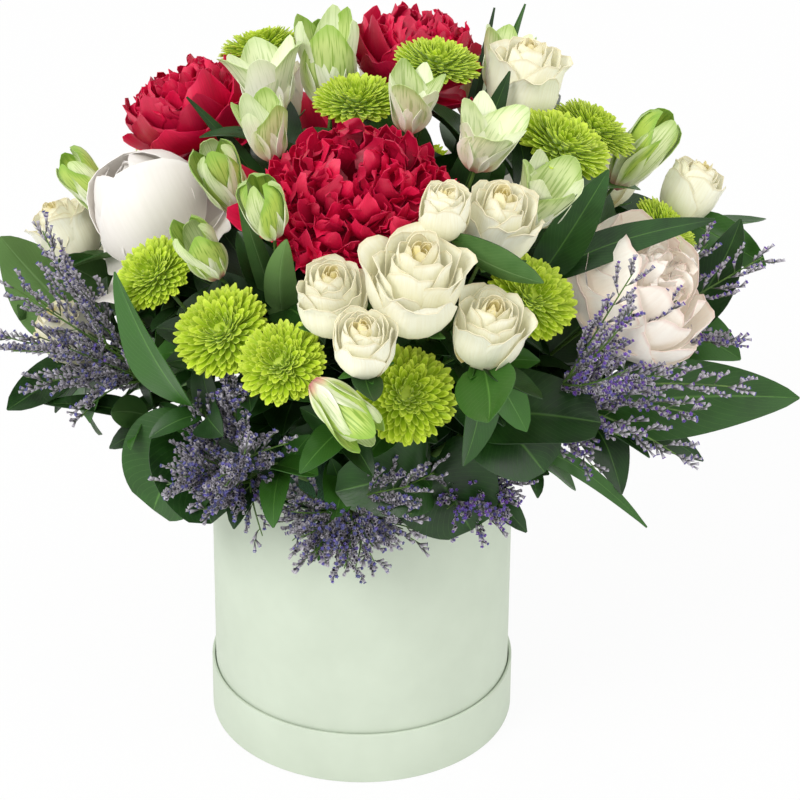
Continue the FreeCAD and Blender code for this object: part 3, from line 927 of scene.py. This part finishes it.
def seeded(node):
    """Random numbers that are the same in every run, and differ from plant to plant."""
    return np.random.default_rng(sum(ord(letter) * (k + 1) for k, letter in enumerate(node)))


def bloom_piece(node, build, material, thickness=PETAL_THICKNESS):
    """Build all of a plant's flowers as one piece."""
    sheaf = Sheaf()
    rng = seeded(node)
    for head in GARDEN[node].heads:
        build(sheaf, head, rng)
    bloom = sheaf.piece(node + "_bloom", [material], thickness)
    dress(bloom, "arrangement", node)
    print(bloom.name, len(GARDEN[node].heads), "flowers,", len(bloom.data.polygons), "faces")


for node in plants("peony"):
    style = next(PEONIES[key] for key in PEONIES if node.startswith(key))
    bloom_piece(node, partial(peony, style=style), style.material)

# %% [markdown]
# ## Roses
# A spray rose is a spiral: every petal stands a golden angle on from the last and wraps round
# the ones inside it. The middle ones are tight, high and warm yellow; the outer ones are lower
# and roll their rims back, the more so the wider the rose has opened. One loop goes from the
# heart outwards and lets these change slowly. Roses reach up for the light, so each head is
# first turned about its own middle.

# %% Rose builder
ROSE_PETALS = 26
ROSE_SPREAD = 1.16
BUD_RADIUS = 0.014
OPENING = 0.012


def rose(sheaf, head, rng):
    opened = np.clip((head.radius - BUD_RADIUS) / OPENING, 0, 1)
    size = head.radius * (ROSE_SPREAD - 0.18 * opened)
    start = rng.uniform(0, 2 * pi)
    for k in range(ROSE_PETALS):
        share = k / (ROSE_PETALS - 1)
        girth = size * (0.1 + 0.75 * share ** 1.15)
        top = size * (2.0 + 0.25 * opened - (0.3 + 0.25 * opened) * share ** 2) * rng.uniform(0.96, 1.03)
        base = (size * (0.03 + 0.2 * share), size * (0.35 - 0.5 * share))
        tip = (girth * (0.95 - 0.12 * share + 0.25 * opened * share ** 2), top)
        points = petal(ROSE_SHEET, rng, base, tip, girth * (3.9 - 1.4 * share), curl=0.5 + 1.1 * share,
                       wrap=girth * rng.uniform(0.95, 1.1), narrow=0.55, blunt=0.2 + 0.08 * share, point=2.4,
                       frill=0.03, ruffle=0.015 + 0.03 * share, crumple=0.012, taper=0.05 + 0.15 * share,
                       roll=-0.2 + (0.9 + 1.7 * opened) * share ** 2,
                       sway=rng.normal(0, 0.05), twist=rng.normal(0, 0.06))
        turn = start + k * GOLDEN + rng.normal(0, 0.15)
        sheaf.add(round_axis(head, turn, points), ROSE_SHEET, rng.uniform(), share)


# %% Roses in their places
ROSE_LIFT = 0.8


def turned(plant, ways):
    """Turn a plant's heads about their own middles to face other ways, and lengthen their stalks."""
    for k, (head, way) in enumerate(zip(list(plant.heads), ways)):
        middle = head.neck + head.axis * head.height / 2
        plant.heads[k] = Head(middle - unit(way) * head.height / 2, unit(way), head.radius, head.height)
        stem = min(plant.stems, key=lambda s: np.linalg.norm(s.fork - head.neck))
        plant.stalks.append((head.neck, plant.heads[k].neck, stem))


for node in plants("rose"):
    turned(GARDEN[node], [head.axis + (0, 0, ROSE_LIFT) for head in GARDEN[node].heads])
    bloom_piece(node, rose, CREAM)

# %% [markdown]
# ## Button chrysanthemums
# Each button is 230 strap florets on a dome, with 60 more at its crown, round a closed core that
# hides the stalk. The ones at the crown are short, dark and bowed inwards; towards the rim they
# grow longer and lie flat. They are so many that each is only a strip of twelve faces.

# %% Button builder
DOME_FLORETS = 230
CROWN_FLORETS = 60
BUTTON_SPREAD = 1.26
HUB = 0.2


def button(sheaf, head, rng):
    size = head.radius * BUTTON_SPREAD
    hub = HUB * size
    core = head.neck + np.outer(np.linspace(0.02, 0.46, 6) * size, head.axis)
    sheaf.add(*tube(core, np.array([0.1, 0.4, 0.5, 0.46, 0.34, 0.1]) * size, sides=12), tone=0.0, row=0.0)
    dome = dome_spots(DOME_FLORETS, radians(2), radians(110))
    for polar, turn, share in (*dome, *dome_spots(CROWN_FLORETS, 0, radians(40))):
        dimple = 0.08 * np.exp(-(polar / 0.3) ** 2)
        grow = rng.uniform(0.93, 1.05)
        tip = (size * sin(polar) * grow, size * (0.32 + 0.44 * cos(polar) - dimple) * grow)
        reach = np.hypot(tip[0], tip[1] - hub)
        kept = min(0.95, (0.34 + 0.3 * share) * size / reach)
        base = (tip[0] * (1 - kept), hub + (tip[1] - hub) * (1 - kept))
        width = size * (0.1 + 0.12 * share) * rng.uniform(0.85, 1.15)
        points = petal(STRAP_SHEET, rng, base, tip, width, curl=1.2 - 1.2 * share + rng.normal(0, 0.2),
                       wrap=0.6 * width, narrow=0.5, blunt=0.16, point=2.0, sway=rng.normal(0, 0.12))
        sheaf.add(round_axis(head, turn, points), STRAP_SHEET, rng.uniform(), share)


# %% Chrysanthemums in their places
FLORET_THICKNESS = 0.0003
for node in plants("chrysanthemum"):
    bloom_piece(node, button, LIME, FLORET_THICKNESS)

# %% [markdown]
# ## Alstroemeria
# Most are still half shut: six pale tepals in two rings, striped green along the middle and
# green at the tip, that overlap into a long trumpet. Broad ones make the outer ring and narrow
# ones the inner. How far each trumpet has opened is drawn by lot, so no two match; those at the
# top are further open, and a closed one is greener. The one at the front has fallen over. The
# formula for petals serves once more, with a pointed tip.


# %% Striped tepal finish
def tepal_finish():
    material, tree, shader = new_material("striped_tepal", 0.45)
    spot = petal_map(tree, 30)
    body = ramp(tree, spot["Along"], [(0.0, "#b5606a"), (0.12, "#d6b898"), (0.24, "#e8ebcc"),
                                      (0.6, "#f4f5e6"), (1.0, "#ebf0d0")])
    closed = between(tree, spot["Row"], 0.4, 1.0)
    unripe = times(tree, closed, between(tree, spot["Along"], 0.1, 0.4))
    body = mix(tree, times(tree, unripe, 0.6), body, "#b6cc62")
    band = between(tree, spot["Middle"], 0.02, 0.26)
    outer = between(tree, spot["Row"], 0.1, 1.0, 0.12, 1.0)
    start = maths(tree, "MULTIPLY_ADD", spot["Row"], -0.4, 0.42)
    rise = between(tree, spot["Along"], start, maths(tree, "ADD", start, 0.28))
    share = times(tree, times(tree, band, outer), rise)
    leafy = ramp(tree, spot["Row"], [(0.4, "#b8ce54"), (1.0, "#9fbb30")])
    tint = mix(tree, times(tree, share, 0.9), body, leafy)
    tint = mix(tree, times(tree, between(tree, spot["Vein"], 0.5, 0.62), share), tint, "#7c9f2e")
    tint = mix(tree, times(tree, between(tree, spot["Along"], 0.8, 1.0), share), tint, "#84ab38")
    tint = brightened(tree, tint, between(tree, spot["Tone"], 0.0, 1.0, 0.9, 1.05))
    # The emission is painted light: a faint glow in the tepal's own colour lifts its shade, in place of light
    # through thin tepals.
    feed(tree, shader, {"Base Color": tint, "Emission Color": tint, "Emission Strength": 0.07,
                        "Sheen Weight": 0.15})
    bump(tree, shader, spot["Vein"], 0.3, 0.0006)
    return material


TEPAL = tepal_finish()
print("finish:", TEPAL.name)

# %% Trumpet builder
TEPALS = 6


def trumpet(sheaf, head, rng, opening):
    opened = rng.uniform(*opening)
    size = head.radius * (1.1 + 0.36 * opened)
    tall = head.height * (1.32 - 0.42 * opened)
    start = rng.uniform(0, 2 * pi)
    for k in range(TEPALS):
        outer = k % 2 == 0
        width = size * (1.85 if outer else 1.35)
        spread = opened * rng.uniform(0.75, 1.25)
        tip = (size * (0.62 + 0.5 * spread), tall * (0.96 if outer else 0.93) * rng.uniform(0.94, 1.05))
        points = petal(WIDE_SHEET, rng, (size * 0.1, 0), tip, width, curl=0.7 - 0.5 * spread, wrap=0.8 * size,
                       narrow=0.2, blunt=0.45, point=1.7, frill=0.03, ruffle=0.025, taper=0.05,
                       roll=2.2 * spread - 1.5, sway=rng.normal(0, 0.05))
        row = 1.0 - 0.7 * opened if outer else 0.6 - 0.6 * opened
        turn = start + k * 2 * pi / TEPALS
        sheaf.add(round_axis(head, turn, points), WIDE_SHEET, rng.uniform(), row)


# %% Alstroemeria in their places
OPEN_AT_TOP = (0.45, 1.0)
OPEN_ELSEWHERE = (0.0, 0.28)
FALLEN = {"alstroemeria_front": np.array([0.73, -0.6, -0.44])}

for node, way in FALLEN.items():
    turned(GARDEN[node], [way])
for node in plants("alstroemeria"):
    opening = OPEN_AT_TOP if "top" in node else OPEN_ELSEWHERE
    bloom_piece(node, partial(trumpet, opening=opening), TEPAL)

# %% [markdown]
# ## Leaves
# A leaf leaves its stem along the stem's own line and bows over to its tip. Its blade folds a
# little along the midrib. The upper side is dark and waxy, the underside paler and duller, so
# Solidify is told to give the under face the second material. Small leaves also stand round the
# stems and stalks, but one that would run into a flower is left out. A rose has five sepals too.


# %% Leaf finishes
def leaf_finish(name, along, vein, roughness, shine):
    material, tree, shader = new_material(name, roughness)
    spot = petal_map(tree, 14)
    cloud, fibre = grain(tree, 45, 900)
    dark = ramp(tree, cloud, [(0.3, along[0]), (0.7, along[1])])
    tint = mix(tree, between(tree, spot["Tone"], 0.5, 1.0), dark, along[2])
    rib = between(tree, spot["Middle"], 0.94, 1.0)
    slant = maths(tree, "MULTIPLY_ADD", spot["Along"], 52.0, times(tree, spot["Middle"], 18.0))
    side_veins = between(tree, maths(tree, "ABSOLUTE", maths(tree, "SINE", slant)), 0.2, 0.0)
    mask = maths(tree, "MAXIMUM", rib, times(tree, side_veins, 0.3))
    tint = mix(tree, times(tree, mask, 0.6), tint, vein)
    tint = brightened(tree, tint, between(tree, spot["Tone"], 0.0, 1.0, 0.75, 1.2))
    worn = between(tree, cloud, 0.3, 0.7, roughness - 0.06, roughness + 0.08)
    feed(tree, shader, {"Base Color": tint, "Roughness": worn, "Specular IOR Level": shine})
    bump(tree, shader, maths(tree, "SUBTRACT", times(tree, fibre, 0.15), mask), 0.3, 0.0006)
    return material


LEAF_TOP = leaf_finish("leaf_upper", ("#12300c", "#234c17", "#32601b"), "#5c8a3c", 0.4, 0.4)
LEAF_UNDER = leaf_finish("leaf_under", ("#426a30", "#5a8044", "#6a8c50"), "#86a86c", 0.6, 0.3)
print("finishes:", LEAF_TOP.name, LEAF_UNDER.name)

# %% Leaf shape
BOX_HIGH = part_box("box_wall")[1]
RIM_GAP = 0.004
RIM_DROP = 0.03
RIM_SLOPE = 1.5
LEAF_BROAD = 1.2
LEAST_HALF = 0.0006
LEAF_STEP = 0.01


def bow(start, lead, end, share):
    """Points on a bow that leaves start towards lead and stops at end."""
    rest = 1 - share
    return np.outer(rest * rest, start) + np.outer(2 * rest * share, lead) + np.outer(share * share, end)


def over_rim(points):
    """Raise points that would cut the box's rim, so that a leaf lies over it."""
    beyond = np.hypot(points[:, 0], points[:, 1]) - BOX_HIGH.x - RIM_GAP
    lowest = BOX_HIGH.z + RIM_GAP - RIM_SLOPE * np.maximum(0, beyond)
    lowest[beyond > RIM_DROP] = -1
    points[:, 2] = np.maximum(points[:, 2], lowest)
    return points


def leaf_points(sheet, root, lead, tip, side, width, rng, full=0.7, petiole=0.12, fold=0.28, wave=0.05):
    """A blade along a bow, with side the direction across it; a small full makes it rounder."""
    u, v = sheet.u, sheet.v
    share = petiole + (1 - petiole) * v
    spine = bow(root, lead, tip, share)
    way = bow(root, lead, tip, share + LEAF_STEP) - spine
    across = side - way * ((way @ side) / (way * way).sum(1))[:, None]
    across /= np.linalg.norm(across, axis=1)[:, None]
    normal = np.cross(across, way)
    normal /= np.linalg.norm(normal, axis=1)[:, None]
    half = np.maximum(LEAST_HALF, width / 2 * np.sin(pi * np.clip(v, 0, 1) ** 0.8) ** full)
    lift = half * (fold * np.abs(u) + wave * u * np.sin(7 * v + rng.uniform(0, 6)))
    return over_rim(spine + across * (u * half)[:, None] + normal * lift[:, None])


def blade_shape(blade):
    """The side direction and full width of a CAD leaf, from the corners farthest off its bow."""
    line = bow(blade.root, blade.lead, blade.tip, np.linspace(0, 1, 60))
    gaps = blade.points[:, None, :] - line[None, :, :]
    nearest = np.linalg.norm(gaps, axis=2).argmin(1)
    aside = gaps[np.arange(len(blade.points)), nearest]
    far = np.linalg.norm(aside, axis=1)
    first = far.argmax()
    return aside[first] / far[first], LEAF_BROAD * 2 * far[first]


# %% Room between the flowers
UPWARDS = np.array([0, 0, 1.0])
ROOM_ABOVE = 1.3
ROOM_BELOW = 0.9
BLOOMS = [(head.neck + head.axis * head.height / 2, head.radius)
          for plant in GARDEN.values() for head in plant.heads]
print("blooms to keep clear of:", len(BLOOMS))


def turned_up(side, root, tip):
    """The side direction, flipped where needed so that the leaf's upper face looks up and out."""
    way = unit(tip - root)
    middle = (root + tip) / 2
    outward = unit(middle - HEART) + 0.6 * UPWARDS
    return side if np.cross(side, way) @ outward > 0 else -side


def crowds_bloom(points):
    """Whether a leaf would run through a flower or lie close over it."""
    depth = np.linalg.norm(points - HEART, axis=1)
    for middle, radius in BLOOMS:
        outside = depth > np.linalg.norm(middle - HEART)
        room = radius * np.where(outside, ROOM_ABOVE, ROOM_BELOW)
        if (np.linalg.norm(points - middle, axis=1) < room).any():
            return True
    return False


# %% Leaves round stems and stalks
STALK_LEAD = 0.35
SEPALS = 5


def leaves_round(sheaf, ends, stretch, rng, count, long):
    """Small leaves round a bowed stem or stalk, on the stretch between two shares of its length."""
    start = rng.uniform(0, 2 * pi)
    for k in range(count):
        share = rng.uniform(*stretch)
        root, ahead = bow(*ends, np.array([share, share + LEAF_STEP]))
        axis = unit(ahead - root)
        turn = start + 2 * pi * k / count + rng.normal(0, 0.3)
        aside = spoke(axis, turn)
        reach = long * rng.uniform(0.8, 1.2)
        lead = root + unit(axis + 0.4 * aside) * 0.5 * reach
        tip = root + unit(0.7 * axis + 0.75 * aside - 0.15 * UPWARDS) * reach
        side = turned_up(np.cross(axis, aside), root, tip)
        width = reach * rng.uniform(0.38, 0.5)
        points = leaf_points(STEM_LEAF_SHEET, root, lead, tip, side, width, rng, 0.6)
        tone = rng.uniform()
        if not crowds_bloom(points[STEM_LEAF_SHEET.v > 0.4]):
            sheaf.add(points, STEM_LEAF_SHEET, tone)


def stalk_bow(root, neck, stem):
    """Root, lead and end of a stalk that leaves its fork along the stem's own line."""
    return root, root + stem.axis * STALK_LEAD * np.linalg.norm(neck - root), neck


def sepals(sheaf, head, rng):
    """Narrow green sepals that stand out from a rose's neck."""
    for k in range(SEPALS):
        outward = spoke(head.axis, 2 * pi * k / SEPALS + rng.normal(0, 0.15))
        tip = head.neck + head.radius * (outward + rng.uniform(0.1, 0.5) * head.axis)
        lead = head.neck + head.radius * 0.6 * outward
        side = turned_up(np.cross(head.axis, outward), head.neck, tip)
        points = leaf_points(STEM_LEAF_SHEET, head.neck, lead, tip, side, 0.34 * head.radius, rng, 0.7, 0.0)
        sheaf.add(points, STEM_LEAF_SHEET, 0.9)


# %% Leaves in their places
LEAF_THICKNESS = 0.0005
ROUND_LEAF = (0.38, 1.3)
LANCE_LEAF = (0.7, 1.0)
STEM_LEAVES = {"limonium": (3, 0.045), "leaf": (3, 0.045), "peony": (9, 0.1), "front": (4, 0.055),
               "top": (9, 0.085), "": (4, 0.085)}
STALK_LEAVES = {"front": (4, 0.045), "": (4, 0.064)}
STEM_STRETCH = (0.78, 0.97)
STALK_STRETCH = (0.3, 0.8)


def first_match(table, node):
    """The entry of the first word in a table that is part of a node's name."""
    return next(entry for word, entry in table.items() if word in node)


for node in PLANTS:
    sheaf = Sheaf()
    rng = seeded(node)
    full, broad = ROUND_LEAF if node.startswith("leaf_front") else LANCE_LEAF
    for blade in GARDEN[node].blades if not node.startswith("limonium") else []:
        side, width = blade_shape(blade)
        side = turned_up(side, blade.root, blade.tip)
        points = leaf_points(LEAF_SHEET, blade.root, blade.lead, blade.tip, side, broad * width, rng, full)
        sheaf.add(points, LEAF_SHEET, rng.uniform())
    for stem in GARDEN[node].stems:
        ends = (HEART, (HEART + stem.fork) / 2, stem.fork)
        leaves_round(sheaf, ends, STEM_STRETCH, rng, *first_match(STEM_LEAVES, node))
    for stalk in GARDEN[node].stalks:
        leaves_round(sheaf, stalk_bow(*stalk), STALK_STRETCH, rng, *first_match(STALK_LEAVES, node))
    for head in GARDEN[node].heads if node.startswith("rose") else []:
        sepals(sheaf, head, rng)
    leaves = sheaf.piece(node + "_leaves", [LEAF_TOP, LEAF_UNDER], LEAF_THICKNESS)
    dress(leaves, "arrangement", node if node.startswith("leaf") else None)
    print(leaves.name, len(sheaf.points), "leaves")

# %% [markdown]
# ## Stems and stalks
# Stems are round and run from the foam to a fork, and a thinner stalk bows from the fork to
# each flower's neck. A stem is a straight tube that tapers a little at its end, and a stalk is
# a tube along the same kind of bow as a leaf's, so it leaves the fork in the stem's direction.


# %% Stem finish
def stem_finish():
    material, tree, shader = new_material("stem", 0.5)
    cloud, fibre = grain(tree, 90, 1200)
    tint = ramp(tree, cloud, [(0.3, "#3f5f24"), (0.7, "#66883a")])
    feed(tree, shader, {"Base Color": tint, "Roughness": between(tree, cloud, 0.3, 0.7, 0.42, 0.58)})
    bump(tree, shader, fibre, 0.2, 0.0004)
    return material


STEM_GREEN = stem_finish()
print("finish:", STEM_GREEN.name)

# %% Stems in their places
STEM_RADIUS = 0.0026
STALK_RADIUS = 0.0011
STEM_RADII = np.array([1, 1, 1, 1, 1.05, 0.8]) * STEM_RADIUS
STALK_RADII = np.linspace(1.15, 1.0, 9) * STALK_RADIUS
STEM_PAST_FORK = 0.002

for node in PLANTS:
    sheaf = Sheaf()
    plant = GARDEN[node]
    for stem in plant.stems:
        path = np.linspace(stem.start, stem.fork + stem.axis * STEM_PAST_FORK, len(STEM_RADII))
        sheaf.add(*tube(path, STEM_RADII, sides=8))
    for stalk in plant.stalks:
        path = bow(*stalk_bow(*stalk), np.linspace(0, 1, len(STALK_RADII)))
        sheaf.add(*tube(path, STALK_RADII, sides=7))
    dress(sheaf.piece(node + "_stem", [STEM_GREEN], 0), "arrangement")
print("stems for", len(PLANTS), "plants")

# %% [markdown]
# ## Limonium
# Sea lavender carries combs of tiny papery florets on both sides of thin branching stalks. A
# floret is a five-sided funnel, and some still hold a violet star, more of them at the right of
# the box. One floret is shaped and copied thousands of times, so its funnel and its star have
# ten faces each.


# %% Limonium finish
def limonium_finish():
    material, tree, shader = new_material("limonium", 0.7)
    spot = petal_map(tree, 10)
    calyx = ramp(tree, spot["Along"], [(0.0, "#3c4232"), (0.5, "#6c6970"), (1.0, "#cfcad4")])
    violet = ramp(tree, spot["Tone"], [(0.0, "#666b94"), (0.5, "#736db2"), (1.0, "#8459b6")])
    tint = mix(tree, between(tree, spot["Row"], 0.4, 0.6), calyx, violet)
    worn = between(tree, spot["Vein"], 0.3, 0.7, 0.75, 1.15)
    feed(tree, shader, {"Base Color": brightened(tree, tint, worn)})
    bump(tree, shader, spot["Vein"], 0.4, 0.0004)
    return material


LIMONIUM = limonium_finish()
print("finish:", LIMONIUM.name)

# %% One floret
FLORET_LENGTH = 0.005


def funnel():
    """Calyx of a floret along +Z: three rings of five."""
    rings = [(0.0, 0.07), (0.55, 0.14), (1.0, 0.22)]
    angles = np.linspace(0, 2 * pi, 5, endpoint=False)
    points = [(r * cos(a), r * sin(a), z) for z, r in rings for a in angles]
    faces = [(5 * i + k, 5 * i + (k + 1) % 5, 5 * i + 5 + (k + 1) % 5, 5 * i + 5 + k)
             for i in range(2) for k in range(5)]
    v = np.repeat([0.0, 0.6, 1.0], 5)
    return np.array(points) * FLORET_LENGTH, Sheet(np.tile(np.linspace(-1, 1, 5), 3), v, faces)


def star():
    """Corolla of a floret: ten corners, by turns far and near, round a sunken middle."""
    angles = np.linspace(0, 2 * pi, 10, endpoint=False)
    radii = np.tile([0.29, 0.16], 5)
    rim = np.stack([radii * np.cos(angles), radii * np.sin(angles), np.full(10, 1.1)], axis=1)
    points = np.concatenate([rim, [[0, 0, 0.85]]])
    faces = [(k, (k + 1) % 10, 10) for k in range(10)]
    return points * FLORET_LENGTH, Sheet(np.zeros(11), np.append(np.ones(10), 0.0), faces)


FUNNEL, FUNNEL_SHEET = funnel()
STAR, STAR_SHEET = star()
print("funnel", len(FUNNEL_SHEET.faces), "faces, star", len(STAR_SHEET.faces), "faces")

# %% Plumes of florets
STARS_LEAST = 0.25
STARS_BY_VIOLET = 0.45
AHEAD = 0.02
COMB_REACH = (0.013, 0.024)
FLORET_GAP = 0.0013
TWIG_TIP = 0.0004
COMB_RADIUS = 0.0003
FLORET_RISE = 0.35 * UPWARDS


def add_floret(sheaf, spot, way, rng, violet):
    across, along = cross_axes(way)
    axes = np.stack([across, along, way])
    grow = rng.uniform(0.8, 1.2)
    tone = np.clip(rng.normal(violet, 0.2), 0, 1)
    sheaf.add(spot + (FUNNEL * grow) @ axes, FUNNEL_SHEET, tone, 0.0)
    if rng.uniform() < STARS_LEAST + STARS_BY_VIOLET * violet:
        sheaf.add(spot + (STAR * grow) @ axes, STAR_SHEET, tone, 1.0)


def plume(sheaf, stalks, ends, thick, bare, rng, violet, gap):
    """A bowed stalk with combs of florets on its two sides; ends are its root, lead and tip."""
    line = bow(*ends, np.linspace(0, 1, 16))
    stalks.add(*tube(line, np.linspace(thick, TWIG_TIP, 16), sides=5))
    length = np.linalg.norm(np.diff(line, axis=0), axis=1).sum()
    count = int((1 - bare) * length / gap)
    for k in range(count):
        share = bare + (1 - bare) * (k + 0.5) / count
        spot, ahead = bow(*ends, np.array([share, share + AHEAD]))
        way = unit(ahead - spot)
        outward = unit(spot - HEART)
        aside = unit(np.cross(way, outward)) * (1 if k % 2 else -1) + 0.45 * outward + rng.normal(0, 0.3, 3)
        reach = rng.uniform(*COMB_REACH) * (1.25 - 0.75 * share)
        lead = spot + (way * 0.35 + aside * 0.6) * reach * 0.6
        comb = (spot, lead, spot + (way * 0.9 + aside * 0.55) * reach)
        stalks.add(*tube(bow(*comb, np.linspace(0, 1, 4)), np.full(4, COMB_RADIUS), sides=4))
        florets = max(5, int(reach / FLORET_GAP))
        seats = bow(*comb, np.linspace(0.15, 0.95, florets))
        rank = 1
        for seat, ahead in zip(seats, bow(*comb, np.linspace(0.3, 1.1, florets))):
            along = unit(ahead - seat)
            rank = -rank
            lean = 0.35 * rank * unit(np.cross(along, way + 1e-6)) + FLORET_RISE + rng.normal(0, 0.15, 3)
            add_floret(sheaf, seat, unit(along + lean), rng, violet)


# %% Limonium in their places
Sprig = namedtuple("Sprig", "branches rise grow fan gap")
SPRIGS = {"front_left": Sprig(7, 1.4, 1.6, (0.5, 1.6), 0.005),
          "front": Sprig(6, 0.4, 1.7, (0.6, 1.8), 0.005),
          "": Sprig(2, 0.0, 1.0, (0.3, 0.7), 0.006)}
VIOLET = {"right": 0.75, "": 0.3}
MAIN_TWIG = (0.0011, 0.3)
SIDE_TWIG = (0.0008, 0.15)


def sprig(sheaf, stalks, blade, style, rng, violet):
    """A main plume and side branches that leave it low down."""
    ends = (blade.root, blade.lead, blade.tip)
    plume(sheaf, stalks, ends, *MAIN_TWIG, rng, violet, style.gap)
    for k in range(style.branches):
        share = rng.uniform(0.2, 0.5)
        spot, ahead = bow(*ends, np.array([share, share + AHEAD]))
        line = unit(ahead - spot)
        outward = unit(spot - HEART)
        aside = (1 if k % 2 else -1) * unit(np.cross(line, outward)) + rng.uniform(0, 0.6) * outward
        aside = aside + style.rise * rng.uniform(0.3, 1.3) * UPWARDS
        reach = (1 - share) * np.linalg.norm(blade.tip - blade.root) * rng.uniform(0.6, 0.9) * style.grow
        tip = spot + unit(line + rng.uniform(*style.fan) * aside) * reach
        lead = spot + unit(line + 0.7 * aside) * 0.4 * reach
        plume(sheaf, stalks, (spot, lead, tip), *SIDE_TWIG, rng, violet, style.gap)


for node in plants("limonium"):
    sheaf, stalks = Sheaf(), Sheaf()
    rng = seeded(node)
    for blade in GARDEN[node].blades:
        sprig(sheaf, stalks, blade, first_match(SPRIGS, node), rng, first_match(VIOLET, node))
    plumes = sheaf.piece(node + "_florets", [LIMONIUM], 0)
    dress(plumes, "arrangement", node)
    dress(stalks.piece(node + "_twigs", [STEM_GREEN], 0), "arrangement")
    print(plumes.name, len(sheaf.points), "funnels and stars")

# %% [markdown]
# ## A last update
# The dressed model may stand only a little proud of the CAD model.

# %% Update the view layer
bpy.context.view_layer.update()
